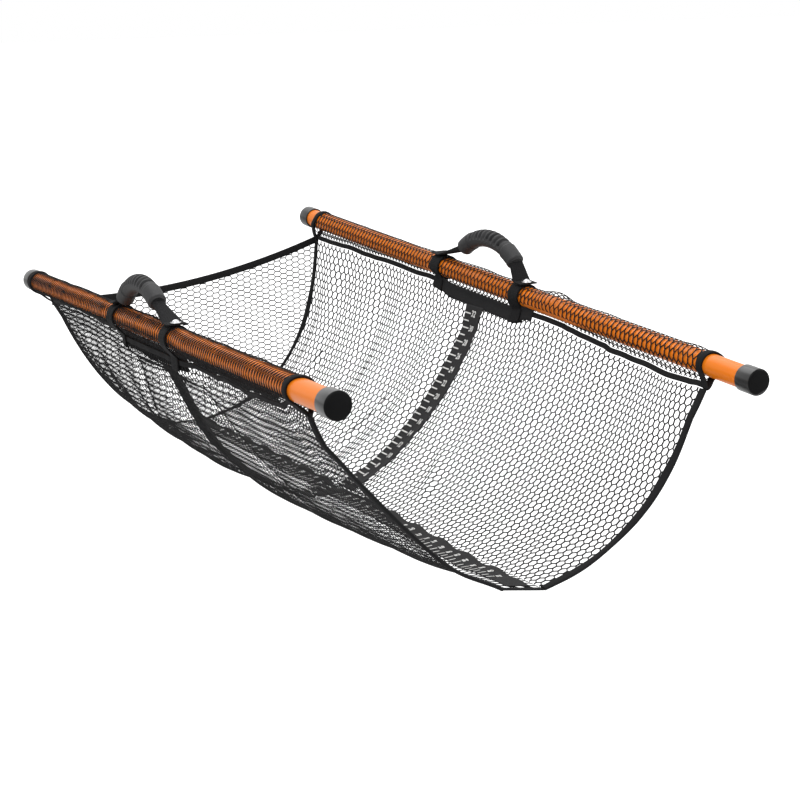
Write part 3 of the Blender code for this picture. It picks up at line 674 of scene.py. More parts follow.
class Track:
    """A line through points that is walked by its length."""

    def __init__(self, points: Sequence[Sequence[float]]) -> None:
        """Measures the line through the points."""
        self.points = [Vector(point) for point in points]
        self.reach = [0.0]
        for a, b in zip(self.points, self.points[1:]):
            self.reach.append(self.reach[-1] + (b - a).length)
        self.length = self.reach[-1]

    def at(self, distance: float) -> Vector:
        """The point at a distance from the start."""
        index = min(max(bisect_left(self.reach, distance), 1), len(self.points) - 1)
        start = self.reach[index - 1]
        share = (distance - start) / (self.reach[index] - start)
        return self.points[index - 1].lerp(self.points[index], share)

    def heading(self, distance: float) -> Vector:
        """The direction of the line at a distance from the start."""
        index = min(max(bisect_left(self.reach, distance), 1), len(self.points) - 1)
        return (self.points[index] - self.points[index - 1]).normalized()


@dataclass(frozen=True)
class Fold:
    """A soft crease of the netting along a line between two (y, height up the net) points."""

    start: Pair
    end: Pair
    width: float
    rise: float

    def lift(self, y: float, up: float) -> float:
        """How far the crease lifts the netting at a point."""
        run = Vector(self.end) - Vector(self.start)
        offset = Vector((y, up)) - Vector(self.start)
        along = offset.dot(run) / run.length_squared
        aside = (offset.x * run.y - offset.y * run.x) / run.length
        fade = ease(min(along, 1.0 - along) / 0.3)
        return self.rise * math.exp(-((aside / self.width) ** 2)) * fade


@dataclass(frozen=True)
class Pleats:
    """Soft waves of slack netting that run up the trough's side."""

    rise: float
    length: float
    front_share: float
    seed: float

    def lift(self, y: float, up: float) -> float:
        """How far the waves lift the netting at a point; they grow from the front edge to the rear."""
        grow = lerp(self.front_share, 1.0, ease((y + 0.15) / 0.25))
        wave = noise.noise(Vector((y / self.length, up / 0.30, self.seed)))
        fine = noise.noise(Vector((y / self.length * 2.7, up / 0.09, self.seed + 7.0)))
        return self.rise * grow * (1.7 * wave + 0.5 * fine)


def floor_rise(x: float, y: float) -> float:
    """How far the floor's front end is drawn up, most at its left corner."""
    return (FLOOR_DRAWN_UP - FLOOR_DRAWN_SLOPE * x) * FLOOR_DRAWN.at(y)


@dataclass(frozen=True)
class Side:
    """One side of the cradle and where its surfaces lie: sign -1 is left, +1 is right."""

    name: str
    sign: int
    heights: Pair
    leans: tuple[float, float, float]
    bellies: tuple[Pair, Pair, Pair]
    handle_y: float
    grip_shift: float
    grip_heights: Pair
    corner: float
    pleats: Pleats
    patch: tuple[Pair, ...]
    patch_ends: Pair
    straightened: float
    wander: tuple[Pair, ...]
    folds: tuple[Fold, ...]

    @lru_cache(maxsize=None)
    def pole_matrix(self) -> Matrix:
        """The pole's own frame: origin at its middle, +Y along its axis to the rear, +Z up."""
        front = Vector((self.sign * FRONT_SPREAD / 2, 0.0, self.heights[0]))
        rear = Vector((self.sign * REAR_SPREAD / 2, 0.0, self.heights[1]))
        reach = rear - front
        reach.y = math.sqrt(POLE_LENGTH ** 2 - reach.length_squared)
        along = reach.normalized()
        across = along.cross(Vector((0.0, 0.0, 1.0))).normalized()
        matrix = Matrix((across, along, across.cross(along))).transposed().to_4x4()
        middle = (front + rear) / 2
        matrix.translation = Vector((middle.x, 0.0, middle.z))
        return matrix

    def lean(self, y: float, down: float) -> float:
        """How far the seam leans inwards at y, in radians; the stiff patch makes it hang straighter."""
        front, middle, rear = self.leans
        end, far = (SLEEVE_FRONT, front) if y < self.handle_y else (SLEEVE_REAR, rear)
        lean = lerp(middle, far, (y - self.handle_y) / (end - self.handle_y))
        near = PATCH_NEAR.at(abs(y - sum(self.patch_ends) / 2))
        return math.radians(lean - self.straightened * near * (1 - PATCH_BELOW.at(down)))

    def hang(self, y: float, out: float, down: float) -> Vector:
        """A point at y along the pole: down the seam's direction there, and out square to it."""
        down += through(self.wander, y) * SEAM_LOOSE.at(down) * (1 - NET_LOOSE.at(down))
        lean = self.lean(y, down)
        across = self.sign * (out * math.cos(lean) - down * math.sin(lean))
        return self.pole_matrix() @ Vector((across, y, -out * math.sin(lean) - down * math.cos(lean)))

    def seam_point(self, y: float, down: float) -> Vector:
        """The point under the pole, down the seam's direction, where it crosses the plane of y."""
        start = self.hang(y, 0.0, down)
        along = self.pole_matrix().col[1].to_3d()
        return start + along * ((y - start.y) / along.y)

    @lru_cache(maxsize=None)
    def profile(self, y: float) -> Track:
        """The trough's section at y, from the floor's edge up to the seam."""
        share = (y - SLEEVE_FRONT) / SLEEVE_LENGTH
        out, up = (lerp(front, rear, share) + 4 * share * (1 - share) * (middle - (front + rear) / 2)
                   for front, middle, rear in zip(*self.bellies))
        low = Vector((self.sign * FLOOR_EDGE, y, BINDING_THICKNESS / 2))
        bend = self.seam_point(y, NET_TOP + NET_STRAIGHT)
        belly = Vector((self.sign * out, y, up))

        def curve(t: float) -> Vector:
            """The point at a share of the slack curve below the seam's straight part."""
            return low * (1 - t) ** 2 + belly * 2 * t * (1 - t) + bend * t ** 2

        straight = [self.seam_point(y, NET_TOP + NET_STRAIGHT * share) for share in (0.75, 0.5, 0.25, 0.0)]
        return Track(sampled(PROFILE_STEPS, curve) + straight)

    def net_point(self, y: float, up: float, lift: float = 0.0) -> Vector:
        """A point of the net at y, a length up from the floor's edge, lifted to the inside of the trough."""
        track = self.profile(round(y, 4))
        place = track.at(min(up, track.length + 0.004))
        heading = track.heading(min(up, track.length))
        inward = Vector((-self.sign * heading.z, 0.0, self.sign * heading.x)).normalized()
        pinned = FLOOR_FREE.at(up) * ease((track.length - up) / SEWN_FADE)
        pinned *= ease((SLEEVE_REAR - y) / SEWN_FADE)
        pinned *= lerp(FRONT_SLACK, 1.0, ease((y - SLEEVE_FRONT) / SEWN_FADE))
        slack = sum(fold.lift(y, up) for fold in self.folds) + self.pleats.lift(y, up)
        place += inward * (lift + slack * pinned)
        place.y = y
        place.z += floor_rise(self.sign * FLOOR_WIDTH / 2, y) * FLOOR_NEAR.at(up)
        return place

    def front_edge(self, share: float) -> float:
        """Where the netting's front edge lies at a share of its height: its upper corner is drawn back."""
        return SLEEVE_FRONT + self.corner * CORNER_DRAWN.at(share)

    def net_height(self, y: float) -> float:
        """The length of net from the floor's edge to the seam at y."""
        return self.profile(round(y, 4)).length


def wandering(*points: Pair) -> tuple[Pair, ...]:
    """A seam's wander from its straight line, from (y, distance) points in millimetres."""
    return tuple((y / 1000, sway / 1000) for y, sway in points)


LEFT = Side(
    "left", -1, heights=(0.251, 0.230), leans=(20.0, 20.0, 31.0),
    bellies=((0.112, 0.050), (0.151, 0.014), (0.130, 0.038)),
    handle_y=0.026, grip_shift=0.018, grip_heights=(0.034, 0.024), corner=0.016,
    pleats=Pleats(rise=0.0013, length=0.055, front_share=0.7, seed=4.0),
    patch=((-0.0030, 0.0190), (-0.0019, 0.0235), (-0.0018, 0.0365)), patch_ends=(-0.101, 0.135),
    straightened=18.0,
    wander=wandering((-453, 0), (-424, -2), (-400, -5), (-374, 4.4), (-343, 6), (-312, 5.2), (-277, 8.4),
                     (-245, 5.7), (-214, 3.4), (-178, 5.3), (-144, 3.6), (-117, 0), (-60, 0), (130, 0),
                     (237, -1), (290, -4), (350, -6), (424, -1.5), (500, 3)),
    folds=(Fold((0.026, -0.03), (0.026, 0.33), 0.045, 0.009),
           Fold((-0.10, 0.29), (-0.21, 0.12), 0.012, 0.003),
           Fold((0.13, 0.29), (0.23, 0.13), 0.012, 0.003)))
RIGHT = Side(
    "right", 1, heights=(0.217, 0.290), leans=(29.0, 14.0, 6.0),
    bellies=((0.166, 0.041), (0.1315, 0.0395), (0.190, 0.030)),
    handle_y=0.026, grip_shift=-0.018, grip_heights=(0.038, 0.035), corner=0.0,
    pleats=Pleats(rise=0.0045, length=0.060, front_share=0.3, seed=9.0),
    patch=((-0.0049, 0.0175), (-0.0022, 0.0235), (-0.0018, 0.0365)), patch_ends=(-0.110, 0.126),
    straightened=0.0,
    wander=wandering((-453, -4), (-438, -2.2), (-397, -0.3), (-351, -2.7), (-330, -2.4), (-307, -3.2),
                     (-284, -2.7), (-268, -5.1), (-219, -6.7), (-194, -8.2), (-168, -9.7), (-143, -9.9),
                     (-105, -9.2), (-62, 0), (88, 0), (128, -7), (151, -7.9), (198, -6), (232, -6.6),
                     (272, -6.4), (322, -4.4), (353, -3.7), (396, -4.6), (428, -2.6), (467, -1.3)),
    folds=(Fold((0.131, 0.165), (0.165, 0.035), 0.010, 0.006),
           Fold((0.42, 0.12), (0.38, 0.20), 0.009, 0.005),
           Fold((-0.135, 0.02), (-0.055, 0.13), 0.011, 0.004)))


@dataclass(frozen=True)
class Pole:
    """A lacquered tube with a rubber cap pushed over each end."""

    side: Side
    wall: float = 0.0015
    cap_diameter: float = 0.030
    cap_end: float = 0.003
    cap_edge: float = 0.0026
    cap_lip: float = 0.0006
    clearance: float = 0.0003
    turns: int = 72

    def tube(self) -> bmesh.types.BMesh:
        """The tube, with its cut ends eased."""
        half = POLE_LENGTH / 2 - self.cap_end - self.clearance
        outer = TUBE_DIAMETER / 2
        inner = outer - self.wall
        ease_off = self.wall / 4
        profile = [(inner, half), (outer - ease_off, half), (outer, half - ease_off),
                   (outer, ease_off - half), (outer - ease_off, -half), (inner, -half), (inner, half)]
        along = Matrix.Rotation(math.radians(-90), 4, "X")
        return turned_mesh(profile, self.turns, self.side.pole_matrix() @ along)

    def cap(self, end: int) -> bmesh.types.BMesh:
        """The cap at the front (-1) or rear (+1) end."""
        outer = self.cap_diameter / 2
        bore = TUBE_DIAMETER / 2 + self.clearance
        profile = [(0.0, 0.0), (outer, 0.0), (outer, -CAP_LENGTH), (bore, -CAP_LENGTH),
                   (bore, -self.cap_end), (0.0, -self.cap_end)]
        profile = rounded(profile, 2, self.cap_lip, 3)
        profile = rounded(profile, 1, self.cap_edge, 8)
        turn = Matrix.Rotation(math.radians(-90 * end), 4, "X")
        place = Matrix.Translation((0.0, end * POLE_LENGTH / 2, 0.0)) @ turn
        return turned_mesh(profile, self.turns, self.side.pole_matrix() @ place)

    def build(self) -> None:
        """Adds the tube and the caps, and gives the hidden float core its finish."""
        name = self.side.name
        body = f"{name}_pole"
        add_piece(f"tube_{name}", self.tube(), body, TUBE, [f"pole_tube_{name}"])
        for word, end in ENDS:
            add_piece(f"cap_{name}_{word}", self.cap(end), body, CAP, [f"pole_cap_{name}_{word}"])
        core = frame["nodes"][f"float_core_{name}"]
        core.data.materials.clear()
        core.data.materials.append(FOAM.material())


@dataclass(frozen=True)
class Sleeve:
    """The netting round a pole, the bound mouths at its ends and the seam tape under it."""

    side: Side
    pitch: float
    rows: int
    strand: float
    straight: float
    mouth_back: float
    slant: float
    tip_back: float
    rear_back: float
    bump: float
    wall: float = 0.0007
    radius: float = 0.0142
    stand_off: float = 0.0014
    mouth_width: float = 0.0095
    mouth_thickness: float = 0.002
    tail: float = 0.30
    tape_thickness: float = 0.0016
    tape_width: float = 0.0066
    tape_short: float = 0.004
    loop_fade: float = 0.02
    end_fade: float = 0.03
    low: Fade = Fade(0.013, 0.010)
    tail_low: Fade = Fade(0.012, 0.011)
    rear_low: Fade = Fade(-0.006, 0.026)
    top_slack: Fade = Fade(0.012, -0.02)
    bump_y: float = -0.150
    bump_width: float = 0.022
    slack_wave: float = 0.045
    mouth_gap: float = 0.0005
    mouth_puff: float = 0.05
    mouth_ripple: float = 0.02
    tape_stray: float = 0.0007
    tape_wave: float = 0.02
    corner_share: float = 0.8

    def teardrop(self, distance: float, radius: float) -> Pair:
        """The (out, down) point of the sleeve's section at a distance round it from the seam."""
        half_angle = math.asin(radius / SLEEVE_TIP)
        flank = SLEEVE_TIP * math.cos(half_angle)
        arc = (math.pi + 2 * half_angle) * radius
        tangent = (radius * math.cos(half_angle), radius * math.sin(half_angle))
        if distance < flank:
            share = distance / flank
            return lerp(0.0, tangent[0], share), lerp(SLEEVE_TIP, tangent[1], share)
        if distance > flank + arc:
            share = min((distance - flank - arc) / flank, 1.0)
            return lerp(-tangent[0], 0.0, share), lerp(tangent[1], SLEEVE_TIP, share)
        angle = (distance - flank) / radius - half_angle
        return radius * math.cos(angle), -radius * math.sin(angle)

    def girth(self, radius: float) -> float:
        """The length round the sleeve's section."""
        half_angle = math.asin(radius / SLEEVE_TIP)
        return (math.pi + 2 * half_angle) * radius + 2 * SLEEVE_TIP * math.cos(half_angle)

    def front(self, out: float, down: float) -> float:
        """Where the sleeve's netting starts along the pole, at a point of its section."""
        low = self.low.at(down)
        aslant = abs(self.slant) * ease(0.5 + math.copysign(out, out * self.slant) / (2 * self.radius))
        return SLEEVE_FRONT + self.mouth_back + self.tip_back * low + aslant * (1 - low)

    def rear(self, down: float) -> float:
        """Where the sleeve's netting ends along the pole: its upper part may be drawn to the front."""
        return SLEEVE_REAR - self.rear_back * (1 - self.rear_low.at(down))

    def net_place(self, along: float, around: float) -> Vector:
        """Where a point of the flat sleeve lies."""
        girth = self.girth(self.radius)
        out, down = self.teardrop(around * girth, self.radius)
        y = lerp(self.front(out, down), self.rear(down), along)
        near_loop = min(abs(y - self.side.handle_y - end * LOOP_SPACING / 2) for _, end in ENDS)
        fade = ease((near_loop - LOOP_WIDTH / 2) / self.loop_fade)
        fade *= ease((y - SLEEVE_FRONT) / self.end_fade) * ease((SLEEVE_REAR - y) / self.end_fade)
        slack = self.stand_off * fade * max(ripple(y, self.slack_wave, 9.3 + self.side.sign), 0.0)
        slack += self.bump * fade * math.exp(-(((y - self.bump_y) / self.bump_width) ** 2))
        scale = 1.0 + slack * self.top_slack.at(down) / self.radius
        return self.side.hang(y, out * scale, down * scale)

    def netting(self) -> bmesh.types.BMesh:
        """The sleeve's netting."""
        girth = self.girth(self.radius)

        def place(along: float, around: float) -> Vector:
            """Where a point of the flat net lies."""
            return self.net_place(along / SLEEVE_LENGTH, around / girth)

        size = (SLEEVE_LENGTH, girth)
        return net_mesh(self.pitch, girth / self.rows, size, self.strand, place, self.straight, cuts=2)

    def mouth(self, front: bool) -> bmesh.types.BMesh:
        """The folded tape round the front or rear mouth of the sleeve."""
        radius = TUBE_DIAMETER / 2 + self.mouth_gap + self.mouth_thickness / 2
        girth = self.girth(radius)

        def place(across: float, around: float) -> Vector:
            """Where a point of the flat tape lies."""
            out, down = self.teardrop(around * girth, radius)
            start = self.rear(down) + MOUTH_WIDTH - self.mouth_width
            if front:
                start = self.front(out, down) - MOUTH_WIDTH
            puff = 1.0 + self.mouth_puff * math.sin(math.pi * across)
            puff += self.mouth_ripple * ripple(around, 0.2, 4.0)
            puff += self.tail * self.tail_low.at(down)
            return self.side.hang(start + across * self.mouth_width, out * puff, down * puff)

        return cloth_mesh((self.mouth_width, girth), (6, 64), place)

    def seam_tape(self) -> bmesh.types.BMesh:
        """The slack tape that closes the sleeve and joins it to the trough's net."""
        start = SLEEVE_FRONT - MOUTH_WIDTH + self.side.corner * self.corner_share
        length = SLEEVE_REAR + MOUTH_WIDTH - self.tape_short - start

        def place(across: float, along: float) -> Vector:
            """Where a point of the flat tape lies."""
            y = start + along * length
            out = self.tape_stray * ripple(y, self.tape_wave, 6.0 + self.side.sign)
            return self.side.hang(y, out, SEAM_START + across * self.tape_width)

        return cloth_mesh((self.tape_width, length), (4, 240), place)

    def build(self) -> None:
        """Adds the sleeve's pieces."""
        name = self.side.name
        body = f"{name}_side"
        add_piece(f"sleeve_net_{name}", self.netting(), body, YARN, [f"sleeve_{name}"], self.wall)
        for word, end in ENDS:
            add_piece(f"sleeve_mouth_{name}_{word}", self.mouth(end < 0), body, BINDING,
                      [f"sleeve_band_{name}_{word}"], self.mouth_thickness)
        add_piece(f"seam_{name}", self.seam_tape(), body, BINDING, [f"seam_tape_{name}"], self.tape_thickness)


@dataclass(frozen=True)
class EdgeTape:
    """A tape folded over a raw edge of netting and sewn."""

    width: float
    thickness: float
    stray_wave: float = 0.05
    tilt: float = 0.25
    tilt_wave: float = 0.07

    def mesh(self, track: Track, steps: int, wander: float, seed: float) -> bmesh.types.BMesh:
        """The tape along a track.

        Args:
            track: The middle of the tape, whose width lies along Y.
            steps: How many faces it has along.
            wander: How far it strays from the track.
            seed: A number that sets which way it strays.

        Returns:
            The tape as a bmesh.
        """
        def place(around: float, along: float) -> Vector:
            """Where a point round the tape's section lies."""
            distance = along * track.length
            heading = track.heading(distance)
            wide, deep = rounded_section(around, 0.55, 0.8)
            wide *= self.width / 2
            deep *= self.thickness / 2
            stray = wander * ripple(distance, self.stray_wave, seed)
            tilt = self.tilt * ripple(distance, self.tilt_wave, seed + 5.0)
            normal = heading.cross(Y).normalized()
            return track.at(distance) + Y * (wide + stray) + normal * (deep + wide * tilt)

        return rope_mesh((2 * self.width + 2 * self.thickness, track.length), (20, steps), place)


@dataclass(frozen=True)
class SidePanel:
    """The trough's side: netting from the floor's edge to the seam, and its two bound edges."""

    side: Side
    pitch: float
    row: float
    strand: float
    straight: float
    shear: float
    wall: float = NET_THICKNESS
    end: Fade = Fade(0.0, 0.02)
    shear_end: Fade = Fade(0.0, 0.2)
    row_stray: float = 0.0018
    row_wave: float = 0.045
    edge_steps: int = 90
    edge_wander: float = 0.0008
    edges: tuple[EdgeTape, EdgeTape] = (EdgeTape(0.0104, 0.0042), EdgeTape(0.0090, 0.0036))

    def netting(self) -> bmesh.types.BMesh:
        """The side's netting."""
        nominal = self.side.net_height(0.0)

        def place(along: float, up: float) -> Vector:
            """Where a point of the flat net lies."""
            y = lerp(self.side.front_edge(up / nominal), SLEEVE_REAR, along / SLEEVE_LENGTH)
            loose, sheared = (fade.at(along) * fade.at(SLEEVE_LENGTH - along)
                              for fade in (self.end, self.shear_end))
            y += self.row_stray * loose * ripple(up, self.row_wave, 21.0 + 9.0 * along)
            y -= self.shear * up ** 2 / nominal * sheared
            return self.side.net_point(y, up / nominal * self.side.net_height(y))

        return net_mesh(self.pitch, self.row, (SLEEVE_LENGTH, nominal), self.strand, place, self.straight)

    def edge_track(self, front: bool) -> Track:
        """The line along the front or rear edge of the netting, from the floor up to the seam."""
        def point(share: float) -> Vector:
            """The line's point at a share of its height."""
            y = SLEEVE_REAR + BINDING_WIDTH / 2
            if front:
                y = self.side.front_edge(share) - BINDING_WIDTH / 2
            return self.side.net_point(y, self.side.net_height(y) * share)

        return Track(sampled(EDGE_STEPS, point))

    def build(self) -> None:
        """Adds the netting and its bindings."""
        name = self.side.name
        body = f"{name}_side"
        add_piece(f"netting_{name}", self.netting(), body, YARN, [f"net_side_{name}"], self.wall)
        for (word, end), edge, seed in zip(ENDS, self.edges, (2.0, 8.0)):
            tape = edge.mesh(self.edge_track(end < 0), self.edge_steps, self.edge_wander, seed)
            add_piece(f"edge_{word}_{name}", tape, body, BINDING, [f"binding_{word}_{name}"])


@dataclass(frozen=True)
class Ruler:
    """A cloth measuring tape with white ticks, and a plain number at every second one."""

    width: float = CROSS_RULER_WIDTH
    step: float = 0.010
    tick: float = 0.0018
    inset: float = 0.0008
    short_tick: float = 0.0125
    long_tick: float = 0.0150
    digit_height: float = 0.0085
    boldness: float = 0.00025
    print_lift: float = 0.0006
    capital_share: float = 0.72

    def number(self, value: int) -> bmesh.types.BMesh:
        """A number as flat faces, its left end at the origin and its middle on the X axis."""
        curve = bpy.data.curves.new("number", "FONT")
        curve.body = str(value)
        curve.size = self.digit_height / self.capital_share
        curve.align_y = "CENTER"
        curve.offset = self.boldness
        curve.resolution_u = 2
        holder = add_object("number", curve)
        bpy.context.view_layer.update()
        mesh = bpy.data.meshes.new_from_object(holder.evaluated_get(bpy.context.evaluated_depsgraph_get()))
        bm = bmesh.new()
        bm.from_mesh(mesh)
        bpy.data.meshes.remove(mesh)
        bpy.data.objects.remove(holder)
        bpy.data.curves.remove(curve)
        return bm

    def marks(self, first: int, last: int,
              place: Callable[[float, float, float], Vector]) -> bmesh.types.BMesh:
        """The ticks and numbers from one step to another.

        Args:
            first: The first tick.
            last: The last tick.
            place: Where a point lies, by its distance across the tape, along it, and its lift off it.

        Returns:
            All marks as one bmesh.
        """
        bm = bmesh.new()
        for count in range(first, last + 1):
            numbered = count % 2 == 0
            reach = self.long_tick if numbered else self.short_tick
            middle = Matrix.Translation((self.inset + reach / 2, count * self.step, 0.0))
            size = Matrix.Diagonal((reach, self.tick, 1.0, 1.0))
            bmesh.ops.create_grid(bm, x_segments=3, y_segments=1, size=0.5, matrix=middle @ size)
            if numbered and count:
                digits = self.number(count)
                start = self.inset + reach + self.tick
                bmesh.ops.translate(digits, verts=digits.verts, vec=(start, count * self.step, 0.0))
                loose = to_mesh("digits", digits)
                bm.from_mesh(loose)
                bpy.data.meshes.remove(loose)
        for vert in bm.verts:
            vert.co = place(vert.co.x, vert.co.y, self.print_lift)
        return bm


@dataclass(frozen=True)
class CrossRuler:
    """The tape across the trough, in three lengths: one on each side and one over the floor."""

    left: Side
    right: Side
    ruler: Ruler = Ruler()
    overlap: float = 0.0015
    floor_lift: float = 0.0033
    floor_margin: float = 0.0028

    def reach(self, side: Side) -> float:
        """The tape's length up one side."""
        return side.net_height(side.handle_y) - (PATCH_LOW - NET_TOP) + self.overlap

    def side_place(self, side: Side, across: float, up: float, lift: float) -> Vector:
        """A point of the tape on one side: across from the rear edge, up from the floor's edge."""
        waviness = ease(up / 0.03) * ease((self.reach(side) - up) / 0.02)
        share = across / self.ruler.width
        y = side.handle_y + self.ruler.width / 2 - across
        y -= waviness * share ** 3 * 0.0045 * ripple(up, 0.026, 11.0 + side.sign)
        wave = 0.0012 * waviness * (ripple(up, 0.035, 15.0) + 0.8) * (0.4 + share)
        return side.net_point(y, up, TAPE_LIFT + lift + max(wave, 0.0))

    def floor_place(self, across: float, along: float, lift: float) -> Vector:
        """A point of the tape's middle length: along is the distance to the right of the keel's middle."""
        share = (along + FLOOR_WIDTH / 2) / FLOOR_WIDTH
        y = lerp(self.left.handle_y, self.right.handle_y, share) + self.ruler.width / 2 - across
        return Vector((along, y, self.floor_lift + lift))

    def build(self) -> None:
        """Adds the tape's three lengths and their print."""
        for side in (self.left, self.right):
            length = self.reach(side)

            def cloth(across: float, along: float, side: Side = side, length: float = length) -> Vector:
                """Where a point of the flat tape lies."""
                return self.side_place(side, across * self.ruler.width, along * length, 0.0)

            def printed(across: float, along: float, lift: float, side: Side = side) -> Vector:
                """Where a point of the print lies."""
                return self.side_place(side, across, along - FLOOR_EDGE, lift)

            body = f"{side.name}_side"
            sheet = cloth_mesh((self.ruler.width, length), (12, 110), cloth)
            piece = add_piece(f"tape_cross_{side.name}", sheet, body, TAPE, [f"ruler_cross_{side.name}"],
                              TAPE_THICKNESS)
            first = math.ceil((FLOOR_EDGE + 0.001) / self.ruler.step)
            last = int((FLOOR_EDGE + length - 0.003) / self.ruler.step)
            marks = self.ruler.marks(first, last, printed)
            add_piece(f"print_cross_{side.name}", marks, body, PRINT, wall=PRINT_THICKNESS)
        width = FLOOR_WIDTH - 2 * self.floor_margin

        def flat(across: float, along: float) -> Vector:
            """Where a point of the middle length lies."""
            return self.floor_place(across * self.ruler.width, (along - 0.5) * width, 0.0)

        sheet = cloth_mesh((self.ruler.width, width), (8, 10), flat)
        add_piece("tape_cross_middle", sheet, "keel", TAPE, ["ruler_cross_middle"], TAPE_THICKNESS)
        marks = self.ruler.marks(-2, 2, self.floor_place)
        add_piece("print_cross_middle", marks, "keel", PRINT, wall=PRINT_THICKNESS)


@dataclass(frozen=True)
class Keel:
    """The trough's floor: its netting, bound ends and the lengthwise measuring tape."""

    ruler: Ruler = Ruler(LENGTH_RULER_WIDTH, tick=0.0014, inset=0.0006, short_tick=0.0085, long_tick=0.0105,
                         digit_height=0.0056)
    strand: float = 0.0017
    bare: float = 0.035
    hump: float = 0.066
    crossing: Fade = Fade(0.03, 0.02)
    rear: Fade = Fade(0.0, 0.03)
    front: Fade = Fade(0.0, SEWN_FADE)
    hem: float = 0.0006
    bow: float = 0.005
    drift: float = 0.008
    pitch: float = 0.0104
    row: float = 0.0090

    def netting(self) -> bmesh.types.BMesh:
        """The floor's netting."""
        def place(along: float, across: float) -> Vector:
            """Where a point of the flat net lies."""
            x, y = across - FLOOR_WIDTH / 2, SLEEVE_FRONT + along
            return Vector((x, y, NET_LIFT + floor_rise(x, y)))

        return net_mesh(self.pitch, self.row, (SLEEVE_LENGTH, FLOOR_WIDTH), self.strand, place)

    def tape_place(self, across: float, along: float, lift: float) -> Vector:
        """A point of the lengthwise tape: across from its left edge, along from the rear end."""
        y = SLEEVE_REAR - along
        ahead = SLEEVE_LENGTH - along
        free = self.crossing.at(abs(y - (LEFT.handle_y + RIGHT.handle_y) / 2)) * self.rear.at(along)
        free *= self.front.at(ahead)
        scallop = math.sin(math.pi * along / self.hump) ** 2
        share = across / self.ruler.width
        wave = free * (0.0012 + scallop * (0.0010 + 0.0024 * share))
        x = LENGTH_RULER_SHIFT + across - self.ruler.width / 2 + 0.0010 * free * (scallop - 0.6) * share
        x += self.bow * 4 * along * ahead / SLEEVE_LENGTH ** 2
        x -= self.drift * ease(2.2 * along / SLEEVE_LENGTH - 1.2)
        hem = self.hem * ease((self.bare - ahead) / 0.001)
        return Vector((x, y, TAPE_LIFT + lift + wave + hem + floor_rise(x, y)))

    def build(self) -> None:
        """Adds the floor's pieces."""
        add_piece("netting_floor", self.netting(), "keel", YARN, ["net_floor"], NET_THICKNESS)
        edge = EdgeTape(BINDING_WIDTH, 0.0015)
        for (word, end), start in zip(ENDS, (SLEEVE_FRONT, SLEEVE_REAR)):
            def point(share: float, y: float = start + end * BINDING_WIDTH / 2) -> Vector:
                """The binding's middle at a share of the floor's width."""
                x = lerp(-FLOOR_WIDTH / 2, FLOOR_WIDTH / 2, share)
                return Vector((x, y, NET_LIFT + floor_rise(x, y)))

            tape = edge.mesh(Track(sampled(12, point)), 12, 0.0, 1.0)
            add_piece(f"edge_{word}_floor", tape, "keel", BINDING, [f"binding_{word}_floor"])

        def cloth(across: float, along: float) -> Vector:
            """Where a point of the flat tape lies."""
            return self.tape_place(across * self.ruler.width, along * SLEEVE_LENGTH, 0.0)

        size = (self.ruler.width, SLEEVE_LENGTH)
        piece = add_piece("tape_length", cloth_mesh(size, (10, 320), cloth), "keel", TAPE, ["ruler_length"],
                          TAPE_THICKNESS)
        last = int((SLEEVE_LENGTH - self.bare) / self.ruler.step)
        marks = self.ruler.marks(1, last, self.tape_place)
        add_piece("print_length", marks, "keel", PRINT, wall=PRINT_THICKNESS)


